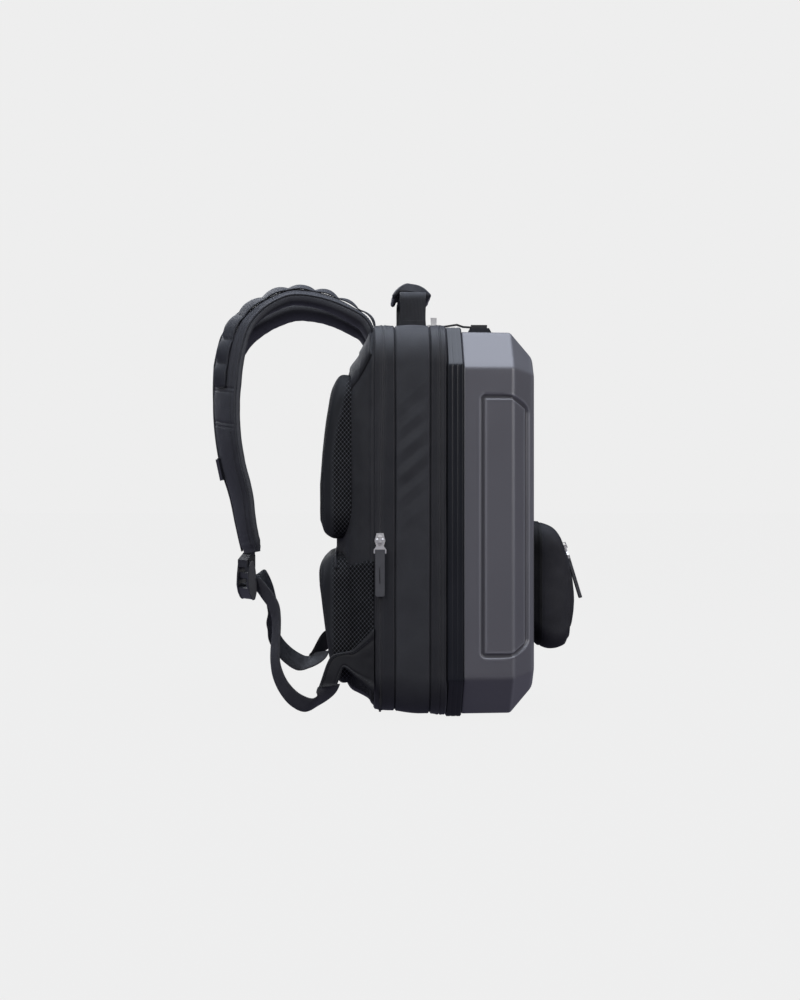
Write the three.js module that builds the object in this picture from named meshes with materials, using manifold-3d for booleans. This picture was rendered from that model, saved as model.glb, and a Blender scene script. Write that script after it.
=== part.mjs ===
// Hard shell backpack, in millimetres. +Z is up, the hard shell faces -Y, the wearer's back is at +Y
// and the origin lies on the ground under the middle of the shell's frame.
import * as THREE from 'three';
import { mergeVertices } from 'three/addons/utils/BufferGeometryUtils.js';
import Module from 'manifold-3d';

const wasm = await Module();
wasm.setup();

// Whole body
const bodyWidth = 310;
const bodyHeight = 444;
const clearance = 0.3;
const cutMargin = 10;

// Depth of each layer, from the shell at the front to the wearer's back
const bevelDepth = 27;
const shellSideDepth = 56;
const frameDepth = 18;
const frontZipDepth = 19;
const gussetDepth = 39;
const backZipDepth = 24;
const backPanelDepth = 42;

// Hard shell
const shellWall = 3;
const shellTopInset = 5;
const shellBottomInset = 3;
const shellCorner = 44;
const frontSideInset = 35;
const frontEndInset = 30;
const frontCorner = 20;
const grooveWidth = 5.5;
const grooveDepth = 1.8;
const grooveFromRim = 18.7;
const grooveFromFront = 7;
const grooveFromTop = 73;
const grooveFromBottom = 70;
const grooveSlant = 13;

// Frame and soft sides
const frameProud = 1.5;
const frameWall = 6;
const frameRibs = 3;
const ribDepth = 0.8;
const fabricWall = 3;
const softCorner = 45;
const softRise = 1.5;
const frontLift = 2.5;
const backLift = 9;
const sideTaper = 4;
const gussetBulge = 1.2;
const coilWidth = 4;
const coilProud = 0.8;

// Back pads, with the luggage sleeve behind the lower one
const padSideInset = 27;
const padCorner = 30;
const upperPadThickness = 19;
const lowerPadThickness = 20;
const sleeveDepth = 6;
const sleeveWidth = 176;
const sleeveFloor = 60;

// Shoulder straps and webbing
const strapReach = 178;
const strapWidth = 62;
const strapThickness = 11;
const rightSwing = 26;
const rightTurn = 0.3;
const rightLift = 27;
const webbingThickness = 1.6;
const webbingWidth = 25;
const loopCount = 9;
const loopHeight = 4.2;
const loopsStart = 0.053;
const loopsEnd = 0.588;
const slidePlace = 0.78;
const slideLength = 25;
const slideWidth = 8;
const slideThickness = 3.5;
const buckleWidth = 38;
const buckleLength = 46;
const buckleThickness = 7;
const slotWidth = 29;
const slotHeight = 7;
const buckleBar = 6;
const slotGap = 3;
const buckleChamfer = 5;
const loopHeadroom = 2.25;
const tabThickness = 2;

// Carry handle
const handleSpan = 150;
const handleWebbing = 31;
const handleRise = 44.5;
const handleThickness = 2.4;
const handleBend = 10;
const handleForward = 2.5;
const gripLength = 90;
const gripWidth = 46;
const gripHeight = 14;

// Zip sliders and the lock dock
const sliderWidth = 12;
const sliderLength = 14;
const sliderThickness = 2.7;
const bridgeWidth = 3.6;
const bridgeWall = 1;
const bridgePlay = 0.5;
const topBridgeHeight = 9;
const pivotRadius = 1;
const pivotHeight = 4.7;
const pullWidth = 14;
const pullThickness = 1.8;
const armGap = 0.6;
const prongWidth = 1.4;
const prongLength = 4.5;
const pullTabWidth = 10.4;
const pullTabLength = 52;
const pullTabThickness = 3.4;
const pullTabChamfer = 1.5;
const sideSliderLevel = 203;
const dockLength = 28;
const dockWidth = 24;
const dockHeight = 6;
const stubWidth = 9;
const stubHeight = 4;
const stubGap = 0.4;
const pullerWidth = 8;
const pullerRise = 2;

// Front pouch
const pouchWidth = 200;
const pouchLow = 84;
const pouchHeight = 140;
const pouchDepth = 51.5;
const pouchWall = 3;
const pouchCorner = 30;

// Places that follow from the sizes
const halfWidth = bodyWidth / 2;
const frameFront = -frameDepth / 2;
const frameBack = frameDepth / 2;
const gussetFront = frameBack + frontZipDepth;
const gussetBack = gussetFront + gussetDepth;
const backSeam = gussetBack + backZipDepth;
const ridge = frameFront - shellSideDepth;
const shellFront = ridge - bevelDepth;
const softTop = bodyHeight + softRise;
const softHalf = halfWidth - 1;
const arcSteps = 6;

const mix = (a, b, share) => a + (b - a) * share;

// A closed outline across the body: a box with its corners cut (1 step) or rounded (more steps)
function outline({ half, low, high, corner, steps = arcSteps }) {
  const points = [];
  for (let quarter = 0; quarter < 4; quarter++) {
    const sideX = quarter === 0 || quarter === 3 ? 1 : -1;
    const middleZ = quarter < 2 ? high - corner : low + corner;
    for (let i = 0; i <= steps; i++) {
      const angle = ((quarter + i / steps) * Math.PI) / 2;
      const x = sideX * (half - corner) + corner * Math.cos(angle);
      points.push([x, middleZ + corner * Math.sin(angle)]);
    }
  }
  return points;
}

const sectionAt = (y, shape) => outline(shape).map(([x, z]) => new THREE.Vector3(x, y, z));

// Makes a geometry whose faces point out, whichever way its rows were listed
function closedGeometry(positions, index) {
  const corner = (i) => new THREE.Vector3().fromArray(positions, 3 * i);
  let volume = 0;
  for (let i = 0; i < index.length; i += 3) {
    volume += corner(index[i]).dot(corner(index[i + 1]).cross(corner(index[i + 2])));
  }
  const geometry = new THREE.BufferGeometry();
  geometry.setAttribute('position', new THREE.Float32BufferAttribute(positions, 3));
  geometry.setIndex(volume < 0 ? index.reverse() : index);
  geometry.computeVertexNormals();
  return geometry;
}

// Joins rows of points into a skin; the ends are capped unless the rows come back to the first one
function loft(rows, closed = false) {
  const count = rows[0].length;
  const index = [];
  const bands = closed ? rows.length : rows.length - 1;
  for (let row = 0; row < bands; row++) {
    const here = row * count;
    const next = ((row + 1) % rows.length) * count;
    for (let i = 0; i < count; i++) {
      const j = (i + 1) % count;
      index.push(here + i, here + j, next + j, here + i, next + j, next + i);
    }
  }
  const last = (rows.length - 1) * count;
  for (let i = 1; !closed && i < count - 1; i++) {
    index.push(0, i + 1, i, last, last + i, last + i + 1);
  }
  return closedGeometry(rows.flat().flatMap((p) => p.toArray()), index);
}

// Manifold solids for cutting and joining
function toSolid(geometry) {
  const bare = geometry.clone();
  bare.deleteAttribute('normal');
  bare.deleteAttribute('uv');
  const merged = mergeVertices(bare, 1e-4);
  const vertProperties = new Float32Array(merged.attributes.position.array);
  const triVerts = new Uint32Array(merged.index.array);
  return new wasm.Manifold(new wasm.Mesh({ numProp: 3, vertProperties, triVerts }));
}

function toGeometry(solid) {
  const { vertProperties, triVerts } = solid.getMesh();
  return closedGeometry(Array.from(vertProperties), Array.from(triVerts));
}

const cut = (geometry, ...tools) =>
  toGeometry(tools.reduce((left, tool) => left.subtract(toSolid(tool)), toSolid(geometry)));

const join = (...geometries) =>
  toGeometry(geometries.map(toSolid).reduce((whole, piece) => whole.add(piece)));

function box(width, depth, height, x = 0, y = 0, z = 0) {
  return new THREE.BoxGeometry(width, depth, height).translate(x, y, z);
}

// Extrudes a flat outline, given as [y, z] points, to both sides of x = 0
function prismAcross(points, width, holes = []) {
  const shape = new THREE.Shape(points.map(([y, z]) => new THREE.Vector2(y, z)));
  shape.holes = holes.map((hole) => new THREE.Path(hole.map(([y, z]) => new THREE.Vector2(y, z))));
  const geometry = new THREE.ExtrudeGeometry(shape, { depth: width, bevelEnabled: false });
  geometry.translate(0, 0, -width / 2);
  return geometry.applyMatrix4(new THREE.Matrix4().set(0, 0, 1, 0, 1, 0, 0, 0, 0, 1, 0, 0, 0, 0, 0, 1));
}

// Outlines of the hard parts
function shellShape(inset, share) {
  const outerHalf = mix(halfWidth, halfWidth - frontSideInset, share);
  return {
    half: outerHalf - inset,
    low: mix(shellBottomInset, shellBottomInset + frontEndInset, share) + inset,
    high: mix(bodyHeight - shellTopInset, bodyHeight - shellTopInset - frontEndInset, share) - inset,
    corner: mix(shellCorner, frontCorner, share) - inset * 0.586,
    steps: 1,
  };
}

function frameShape(inset) {
  return {
    half: halfWidth + frameProud - inset,
    low: inset,
    high: bodyHeight - inset,
    corner: shellCorner + frameProud - inset * 0.586,
    steps: 1,
  };
}

// The soft body's outline, which rises and narrows a little from the frame to the back
function softShape(y, inset) {
  const share = (y - frameBack) / (backSeam - frameBack);
  return {
    half: softHalf - sideTaper * share - inset,
    low: mix(frontLift, backLift, share) + inset,
    high: softTop - inset,
    corner: softCorner - inset,
  };
}

// The back panel's dome, as shares of its depth, of the body's height and of its width
const panelRows = [
  { back: 0.0, low: 0.0, high: 0.0, side: 0.0, corner: 1.0 },
  { back: 0.03, low: 0.01, high: 0.016, side: 0.01, corner: 1.0 },
  { back: 0.14, low: 0.024, high: 0.035, side: 0.035, corner: 1.0 },
  { back: 0.38, low: 0.036, high: 0.075, side: 0.09, corner: 1.0 },
  { back: 0.65, low: 0.05, high: 0.116, side: 0.17, corner: 1.0 },
  { back: 0.83, low: 0.085, high: 0.21, side: 0.3, corner: 0.9 },
  { back: 1.0, low: 0.13, high: 0.41, side: 0.42, corner: 0.8 },
];

function panelSection({ back, low, high, side, corner }, inset) {
  const base = softShape(backSeam, inset);
  return sectionAt(backSeam + back * backPanelDepth - inset, {
    half: base.half - side * halfWidth,
    low: base.low + low * bodyHeight,
    high: base.high - high * bodyHeight,
    corner: corner * base.corner,
  });
}

// A full solid of the soft body and back panel, grown all round, that trims what is sewn to them
function backEnvelope(growth) {
  const rows = panelRows.map((row) => panelSection(row, -growth));
  return loft([sectionAt(frameBack, softShape(frameBack, -growth)), ...rows]);
}

function shellSolid(inset) {
  return loft([
    sectionAt(frameFront, shellShape(inset, 0)),
    sectionAt(ridge + inset * 0.4, shellShape(inset, 0.02)),
    sectionAt(shellFront + inset, shellShape(inset, 1)),
  ]);
}

// The raised side panel's outline, drawn as one line of the groove around it
function grooveOutline(inset) {
  const rim = frameFront - grooveFromRim - inset;
  const front = shellFront + grooveFromFront + inset;
  const high = bodyHeight - grooveFromTop - grooveWidth - inset;
  const low = grooveFromBottom + inset;
  return [
    [rim, low],
    [rim, high],
    [ridge, high],
    [front, high - grooveSlant],
    [front, low + grooveSlant],
    [ridge, low],
  ];
}

function shell() {
  const rim = frameFront - clearance / 2;
  const tray = loft([
    sectionAt(shellFront, shellShape(0, 1)),
    sectionAt(ridge, shellShape(0, 0.02)),
    sectionAt(rim, shellShape(0, 0)),
    sectionAt(rim, shellShape(shellWall, 0)),
    sectionAt(ridge + shellWall * 0.4, shellShape(shellWall, 0.02)),
    sectionAt(shellFront + shellWall, shellShape(shellWall, 1)),
  ]);
  const channel = prismAcross(grooveOutline(0), bodyWidth + 2 * cutMargin, [grooveOutline(grooveWidth)]);
  const skin = toSolid(shellSolid(-1)).subtract(toSolid(shellSolid(grooveDepth)));
  return toGeometry(toSolid(tray).subtract(toSolid(channel).intersect(skin)));
}

// A ring around the body whose cross section is listed as [y, inset] points, in a loop
function ring(profile, shapeAt) {
  return loft(profile.map(([y, inset]) => sectionAt(y, shapeAt(y, inset))), true);
}

function shellFrame() {
  const profile = [[frameFront, frameWall]];
  const pitch = frameDepth / frameRibs;
  for (let rib = 0; rib < frameRibs; rib++) {
    const start = frameFront + rib * pitch;
    profile.push([start, ribDepth], [start + 0.2 * pitch, 0]);
    profile.push([start + 0.8 * pitch, 0]);
  }
  profile.push([frameBack, ribDepth], [frameBack, frameWall]);
  return ring(profile, (y, inset) => frameShape(inset));
}

// A zip band: two tapes with the closed coil standing between them
function zipBand(from, to, coil) {
  const [front, back] = [from + clearance / 2, to - clearance / 2];
  const profile = [
    [front, fabricWall],
    [front, 0],
    [coil - coilWidth / 2, 0],
    [coil - coilWidth / 4, -coilProud],
    [coil + coilWidth / 4, -coilProud],
    [coil + coilWidth / 2, 0],
    [back, 0],
    [back, fabricWall],
  ];
  return ring(profile, softShape);
}

function gusset() {
  const [front, back] = [gussetFront + clearance / 2, gussetBack - clearance / 2];
  const profile = [
    [front, fabricWall],
    [front, 0],
    [mix(front, back, 0.25), -gussetBulge],
    [mix(front, back, 0.75), -gussetBulge],
    [back, 0],
    [back, fabricWall],
  ];
  return ring(profile, softShape);
}

function backPanel() {
  const outer = panelRows.map((row) => panelSection(row, 0));
  const inner = panelRows.map((row) => panelSection(row, fabricWall));
  outer[0] = sectionAt(backSeam + clearance / 2, softShape(backSeam, 0));
  inner[0] = sectionAt(backSeam + clearance / 2, softShape(backSeam, fabricWall));
  return loft([...outer.reverse(), ...inner]);
}

// Pads: shares of the pad's own thickness, height and half width, from its root to its face
const upperPadLow = 203;
const upperPadHeight = 187;
const upperPadRows = [
  { out: -2.0, low: 0.01, high: 0.0, side: 0.0 },
  { out: -0.25, low: 0.0, high: 0.0, side: 0.0 },
  { out: 0.15, low: 0.0, high: 0.05, side: 0.01 },
  { out: 0.45, low: 0.012, high: 0.14, side: 0.05 },
  { out: 0.75, low: 0.04, high: 0.36, side: 0.12 },
  { out: 1.0, low: 0.11, high: 0.66, side: 0.24 },
];
const lowerPadLow = 39;
const lowerPadHeight = 148;
const lowerPadRows = [
  { out: -2.0, low: 0.0, high: 0.0, side: 0.0 },
  { out: -0.2, low: 0.0, high: 0.0, side: 0.0 },
  { out: 0.3, low: 0.13, high: 0.01, side: 0.03 },
  { out: 0.6, low: 0.33, high: 0.04, side: 0.08 },
  { out: 0.85, low: 0.56, high: 0.08, side: 0.15 },
  { out: 1.0, low: 0.72, high: 0.13, side: 0.25 },
];

function pad(rows, low, height, thickness) {
  const root = backSeam + backPanelDepth;
  const half = softHalf - padSideInset;
  const body = loft(rows.map((row) => sectionAt(root + row.out * thickness, {
    half: half * (1 - row.side),
    low: low + row.low * height,
    high: low + height * (1 - row.high),
    corner: Math.min(padCorner, (0.45 * height * (1 - row.low - row.high))),
    steps: 4,
  })));
  return cut(body, backEnvelope(clearance));
}

function lowerPad() {
  const body = pad(lowerPadRows, lowerPadLow, lowerPadHeight, lowerPadThickness);
  const root = backSeam + backPanelDepth;
  const height = lowerPadLow + lowerPadHeight + cutMargin - sleeveFloor;
  const sleeve = box(sleeveWidth, backPanelDepth + sleeveDepth, height);
  sleeve.translate(0, root + sleeveDepth - (backPanelDepth + sleeveDepth) / 2, sleeveFloor + height / 2);
  return cut(body, sleeve);
}

// A place given as shares of half the width, of the straps' reach and of the body's height
function place(side, across, out, up) {
  return new THREE.Vector3(side * across * halfWidth, backSeam + out * strapReach, up * bodyHeight);
}

// The strap's outer edge line from the yoke over the top and down, with the turn of its face
const strapRows = [
  { across: 0.587, out: -0.04, up: 0.95, turn: 0, width: 1, swing: 0 },
  { across: 0.587, out: 0.006, up: 1.007, turn: 0, width: 1, swing: 0 },
  { across: 0.587, out: 0.045, up: 1.031, turn: 2, width: 1, swing: 0 },
  { across: 0.587, out: 0.14, up: 1.055, turn: 4, width: 1, swing: 0 },
  { across: 0.587, out: 0.298, up: 1.08, turn: 9, width: 1, swing: 0 },
  { across: 0.587, out: 0.464, up: 1.092, turn: 10, width: 1, swing: 0 },
  { across: 0.587, out: 0.556, up: 1.089, turn: 12, width: 1, swing: 0.05 },
  { across: 0.6, out: 0.661, up: 1.07, turn: 14, width: 0.99, swing: 0.18 },
  { across: 0.619, out: 0.736, up: 1.046, turn: 18, width: 0.98, swing: 0.32 },
  { across: 0.645, out: 0.803, up: 1.011, turn: 26, width: 0.97, swing: 0.52 },
  { across: 0.677, out: 0.84, up: 0.968, turn: 31, width: 0.97, swing: 0.78 },
  { across: 0.716, out: 0.871, up: 0.901, turn: 32, width: 0.97, swing: 1 },
  { across: 0.755, out: 0.89, up: 0.811, turn: 29, width: 0.95, swing: 1 },
  { across: 0.774, out: 0.885, up: 0.732, turn: 28, width: 0.935, swing: 1 },
  { across: 0.781, out: 0.857, up: 0.653, turn: 28, width: 0.9, swing: 1 },
  { across: 0.781, out: 0.812, up: 0.579, turn: 27, width: 0.855, swing: 0.95 },
  { across: 0.768, out: 0.781, up: 0.484, turn: 25, width: 0.775, swing: 0.75 },
  { across: 0.748, out: 0.752, up: 0.423, turn: 24, width: 0.77, swing: 0.6 },
];

// Reads the strap rows at a share of the way along, on one side of the body
function strapFrame(side, share) {
  const edge = strapCurve(side);
  const along = edge.getUtoTmapping(share);
  const point = edge.getPoint(along);
  const tangent = edge.getTangent(along);
  tangent.x = 0;
  tangent.normalize();
  const level = along * (strapRows.length - 1);
  const row = Math.min(Math.floor(level), strapRows.length - 2);
  const between = (key) => mix(strapRows[row][key], strapRows[row + 1][key], level - row);
  const turn = THREE.MathUtils.degToRad(between('turn') * (side > 0 ? rightTurn : 1));
  const outward = new THREE.Vector3(0, -tangent.z, tangent.y);
  const inwards = new THREE.Vector3(-side, 0, 0);
  const across = inwards.clone().multiplyScalar(Math.cos(turn)).addScaledVector(outward, Math.sin(turn));
  const face = outward.clone().multiplyScalar(Math.cos(turn)).addScaledVector(inwards, -Math.sin(turn));
  return { point, across, face, tangent, width: strapWidth * between('width') };
}

function strapCurve(side) {
  const swing = side > 0 ? rightSwing : 0;
  return new THREE.CatmullRomCurve3(strapRows.map((row) => {
    return place(side, row.across, row.out, row.up).add(new THREE.Vector3(0, row.swing * swing, 0));
  }));
}

// A point of a strap's cross section: how far over its face and how high above it
function strapPoint(frame, over, above) {
  return frame.point.clone().addScaledVector(frame.across, over).addScaledVector(frame.face, above);
}

function strapPad(side) {
  const steps = 36;
  const rows = [];
  for (let i = 0; i <= steps; i++) {
    const frame = strapFrame(side, i / steps);
    const [wide, thick] = [frame.width, strapThickness];
    const profile = [
      [0.3, 0], [wide / thick - 0.3, 0], [wide / thick, -0.3], [wide / thick, -0.7],
      [wide / thick - 0.3, -1], [0.3, -1], [0, -0.7], [0, -0.3],
    ];
    rows.push(profile.map(([over, above]) => strapPoint(frame, over * thick, above * thick)));
  }
  return cut(loft(rows), backEnvelope(clearance));
}

// Daisy chain: one webbing tacked to the strap's face at even steps, standing up in a loop between
function daisyChain(side) {
  const stepsPerLoop = 6;
  const steps = loopCount * stepsPerLoop;
  const rows = [];
  for (let i = 0; i <= steps; i++) {
    const frame = strapFrame(side, mix(loopsStart, loopsEnd, i / steps));
    const middle = frame.width / 2;
    const wave = Math.abs(Math.sin((Math.PI * i) / stepsPerLoop));
    const low = 2.6 * clearance + loopHeight * Math.sqrt(wave);
    const high = low + webbingThickness;
    const half = webbingWidth / 2;
    rows.push([[-half, low], [half, low], [half, high], [-half, high]]
      .map(([over, above]) => strapPoint(frame, middle + over, above)));
  }
  return cut(loft(rows), backEnvelope(clearance));
}

// Places a group so that its X runs over a strap's face, its Y out of it and its Z up along it
function strapGroup(frame, over, above) {
  const group = new THREE.Group();
  const up = frame.tangent.clone().negate();
  const right = frame.across.clone();
  const out = new THREE.Vector3().crossVectors(up, right);
  group.setRotationFromMatrix(new THREE.Matrix4().makeBasis(right, out, up));
  group.position.copy(strapPoint(frame, over, above));
  return group;
}

function strapSlide(side) {
  const frame = strapFrame(side, slidePlace);
  const middle = clearance + slideThickness / 2;
  const group = strapGroup(frame, frame.width - 0.2 * strapThickness - slideWidth / 2, middle);
  group.add(part(`strap_slide_${sideName(side)}`, box(slideWidth, slideThickness, slideLength), plastic));
  return group;
}

// The ladder lock hangs upright under the strap's end, turned as the strap is
const buckleTurn = 28;
const buckleDrop = 32;

function lockPlace(side) {
  const frame = strapFrame(side, 1);
  const group = new THREE.Group();
  group.position.copy(strapPoint(frame, frame.width / 2, -strapThickness / 2));
  group.position.add(new THREE.Vector3(0, buckleThickness, -buckleDrop));
  group.rotation.z = THREE.MathUtils.degToRad(-side * buckleTurn * (side > 0 ? rightTurn : 1));
  group.updateMatrix();
  return group;
}

function ladderLock(side) {
  const group = lockPlace(side);
  const name = sideName(side);
  group.add(part(`ladder_lock_${name}`, buckleGeometry(), plastic));
  group.add(part(`buckle_loop_${name}`, buckleLoop(), webbing));
  return group;
}

function buckleGeometry() {
  const shape = new THREE.Shape();
  const [half, high, chamfer] = [buckleWidth / 2, buckleLength / 2, buckleChamfer];
  shape.moveTo(half - chamfer, high);
  shape.lineTo(-half + chamfer, high).lineTo(-half, high - chamfer).lineTo(-half, chamfer - high);
  shape.lineTo(chamfer - half, -high).lineTo(half - chamfer, -high).lineTo(half, chamfer - high);
  shape.lineTo(half, high - chamfer);
  for (const top of [high - buckleBar, high - 2 * buckleBar - slotHeight - slotGap]) {
    const slot = new THREE.Path();
    slot.moveTo(slotWidth / 2, top).lineTo(slotWidth / 2, top - slotHeight);
    slot.lineTo(-slotWidth / 2, top - slotHeight).lineTo(-slotWidth / 2, top);
    shape.holes.push(slot);
  }
  const plate = new THREE.ExtrudeGeometry(shape, { depth: buckleThickness, bevelEnabled: false });
  return plate.translate(0, 0, -buckleThickness / 2).rotateX(Math.PI / 2);
}

// Webbing folded around the buckle's top bar, up to the strap's end
function buckleLoop() {
  const top = buckleDrop - clearance - loopHeadroom;
  const inner = [
    [-buckleThickness / 2 - clearance, buckleLength / 2 - buckleBar - clearance],
    [buckleThickness / 2 + clearance, buckleLength / 2 - buckleBar - clearance],
    [buckleThickness / 2 + clearance, buckleLength / 2 + clearance],
    [-buckleThickness / 2 - clearance, buckleLength / 2 + clearance],
  ];
  const [reach, foot] = [buckleThickness / 2 + clearance + webbingThickness, inner[0][1] - webbingThickness];
  const outer = [[-reach, foot], [reach, foot], [reach, inner[2][1]], [0, top], [-reach, top]];
  return prismAcross(outer, webbingWidth, [inner]);
}

// Lower webbing from the ladder lock down to the corner tab, as its outer and inner edge lines
const webbingRows = [
  { near: [0.703, 0.725, 0.360], far: [0.574, 0.747, 0.318], lift: 0, swing: 0.2 },
  { near: [0.723, 0.688, 0.348], far: [0.594, 0.710, 0.295], lift: 0, swing: 0.27 },
  { near: [0.742, 0.630, 0.318], far: [0.613, 0.670, 0.274], lift: 0, swing: 0.47 },
  { near: [0.755, 0.596, 0.293], far: [0.626, 0.654, 0.251], lift: 0, swing: 0.58 },
  { near: [0.761, 0.585, 0.262], far: [0.632, 0.647, 0.223], lift: 0.1, swing: 0.58 },
  { near: [0.774, 0.589, 0.199], far: [0.639, 0.656, 0.174], lift: 0.5, swing: 0.58 },
  { near: [0.781, 0.595, 0.153], far: [0.645, 0.654, 0.138], lift: 0.8, swing: 0.52 },
  { near: [0.787, 0.578, 0.127], far: [0.652, 0.641, 0.099], lift: 0.95, swing: 0.58 },
  { near: [0.800, 0.539, 0.096], far: [0.671, 0.598, 0.060], lift: 1, swing: 0.58 },
  { near: [0.813, 0.469, 0.067], far: [0.697, 0.526, 0.028], lift: 1, swing: 0.58 },
  { near: [0.826, 0.388, 0.055], far: [0.710, 0.445, 0.013], lift: 0.9, swing: 0.58 },
  { near: [0.845, 0.359, 0.058], far: [0.729, 0.354, 0.034], lift: 0.75, swing: 0.58 },
  { near: [0.858, 0.346, 0.069], far: [0.794, 0.269, 0.064], lift: 0.6, swing: 0.58 },
  { near: [0.865, 0.339, 0.084], far: [0.858, 0.228, 0.090], lift: 0.5, swing: 0.58 },
];

// One edge of the lower webbing, from inside the ladder lock's lower slot to its end in the tab
function webbingEdge(side, key, over) {
  const right = side > 0 ? 1 : 0;
  const lock = lockPlace(side);
  const slotFoot = buckleLength / 2 - 2 * buckleBar - 2 * slotHeight - slotGap;
  const level = slotFoot + 2.5 * clearance + webbingThickness;
  const start = [0.1, -0.9].map((out) => {
    const point = new THREE.Vector3((side * over * webbingWidth) / 2, out * buckleThickness, level);
    return point.applyMatrix4(lock.matrix);
  });
  const rest = webbingRows.map((row) => {
    const shift = new THREE.Vector3(0, right * row.swing * rightSwing, right * row.lift * rightLift);
    return place(side, ...row[key]).add(shift);
  });
  return new THREE.CatmullRomCurve3([...start, ...rest]);
}

function lowerWebbing(side) {
  const near = webbingEdge(side, 'near', 1);
  const far = webbingEdge(side, 'far', -1);
  const steps = 2 * (near.points.length - 1);
  const rows = [];
  for (let i = 0; i <= steps; i++) {
    const [a, b] = [near.getPoint(i / steps), far.getPoint(i / steps)];
    const across = b.clone().sub(a).normalize();
    const middle = a.clone().add(b).multiplyScalar(0.5);
    const face = new THREE.Vector3().crossVectors(across, near.getTangent(i / steps)).normalize();
    const corners = [[-1, 0], [1, 0], [1, 1], [-1, 1]];
    rows.push(corners.map(([over, above]) => middle.clone()
      .addScaledVector(across, (over * webbingWidth) / 2)
      .addScaledVector(face, -side * above * webbingThickness)));
  }
  return loft(rows);
}

// Corner tab: a fabric wing from the side seam to the folded end that holds the lower webbing
const wingRows = [
  { top: [0.0, 0.234], bottom: [0.0, 0.07] },
  { top: [0.124, 0.182], bottom: [0.107, 0.108] },
  { top: [0.18, 0.173], bottom: [0.185, 0.133] },
  { top: [0.275, 0.158], bottom: [0.205, 0.118] },
  { top: [0.345, 0.086], bottom: [0.228, 0.0925] },
];
const wingLean = 0.3;

function cornerTab(side) {
  const root = softShape(backSeam, 0).half + clearance;
  const shift = side > 0 ? 1 : 0;
  const rows = wingRows.map(({ top, bottom }, i) => {
    const share = i / (wingRows.length - 1);
    const swing = share * webbingRows.at(-1).swing * rightSwing;
    const rise = share ** 2 * webbingRows.at(-1).lift * rightLift;
    const move = new THREE.Vector3(0, shift * swing, shift * rise);
    const corner = ([out, up], depth) => {
      const point = place(side, 0, out, up);
      point.x = side * (root - wingLean * out * strapReach + depth);
      return point.add(move);
    };
    return [corner(top, 0), corner(bottom, 0), corner(bottom, tabThickness), corner(top, tabThickness)];
  });
  return loft(rows);
}

// Carry handle: webbing up from the gusset's top, across and down, with a folded grip over it
const handleMiddle = (gussetFront + gussetBack) / 2 - handleForward;

function handleWebbingStrip() {
  const shape = new THREE.Shape();
  const [half, low, high] = [handleSpan / 2, softTop + clearance + gussetBulge, softTop + handleRise];
  const line = (reach, rise, bend) => [
    [reach, low],
    [reach, rise - bend],
    [reach - 0.3 * bend, rise - 0.3 * bend],
    [reach - bend, rise],
  ];
  const outside = line(half, high, handleBend);
  const inside = line(half - handleThickness, high - handleThickness, handleBend - handleThickness);
  const mirror = (points) => points.map(([x, z]) => [-x, z]).reverse();
  const loop = [...outside, ...mirror(outside), ...mirror(inside).reverse(), ...inside.reverse()];
  loop.forEach(([x, z], i) => (i ? shape.lineTo(x, z) : shape.moveTo(x, z)));
  const strip = new THREE.ExtrudeGeometry(shape, { depth: handleWebbing, bevelEnabled: false });
  return strip.rotateX(Math.PI / 2).translate(0, handleMiddle + handleWebbing / 2, 0);
}

// The grip's cross section, as shares of its width and height, with its drooping tips
const gripProfile = [
  [0.5, 0.0], [0.4, 0.42], [0.17, 1.0], [-0.17, 0.82], [-0.42, 0.4], [-0.5, 0.02],
  [-0.4, -0.34], [-0.36, 0.1], [0.36, 0.1], [0.44, -0.34],
];

function handleGrip() {
  const low = softTop + handleRise + clearance - 0.1 * gripHeight;
  const points = gripProfile.map(([y, z]) => [handleMiddle + y * gripWidth, low + z * gripHeight]);
  return prismAcross(points, gripLength);
}

// Zip slider: base plate with an arched bridge; X over the zip, Y out of the cloth, Z along it
function sliderGeometry() {
  const inner = pivotHeight + pivotRadius + bridgePlay;
  const half = 0.32 * sliderLength;
  const bridge = prismAcross([
    [sliderThickness - bridgePlay, -half], [inner + bridgeWall, bridgeWall - half],
    [inner + bridgeWall, half - bridgeWall], [sliderThickness - bridgePlay, half],
  ], bridgeWidth, [[
    [sliderThickness, bridgeWall - half], [inner, bridgeWall - half + bridgePlay],
    [inner, half - bridgeWall - bridgePlay], [sliderThickness, half - bridgeWall],
  ]]);
  const plate = prismPlate([
    [-0.32, 0.5], [0.32, 0.5], [0.5, -0.1], [0.36, -0.5], [-0.36, -0.5], [-0.5, -0.1],
  ], sliderWidth, sliderLength, clearance + coilProud, sliderThickness);
  return join(plate, bridge);
}

// A flat plate in the slider's X-Z plane from shares of its width and length
function prismPlate(points, width, length, from, to) {
  const shape = new THREE.Shape(points.map(([x, z]) => new THREE.Vector2(x * width, z * length)));
  const plate = new THREE.ExtrudeGeometry(shape, { depth: to - from, bevelEnabled: false });
  return plate.rotateX(Math.PI / 2).translate(0, to, 0);
}

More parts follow.
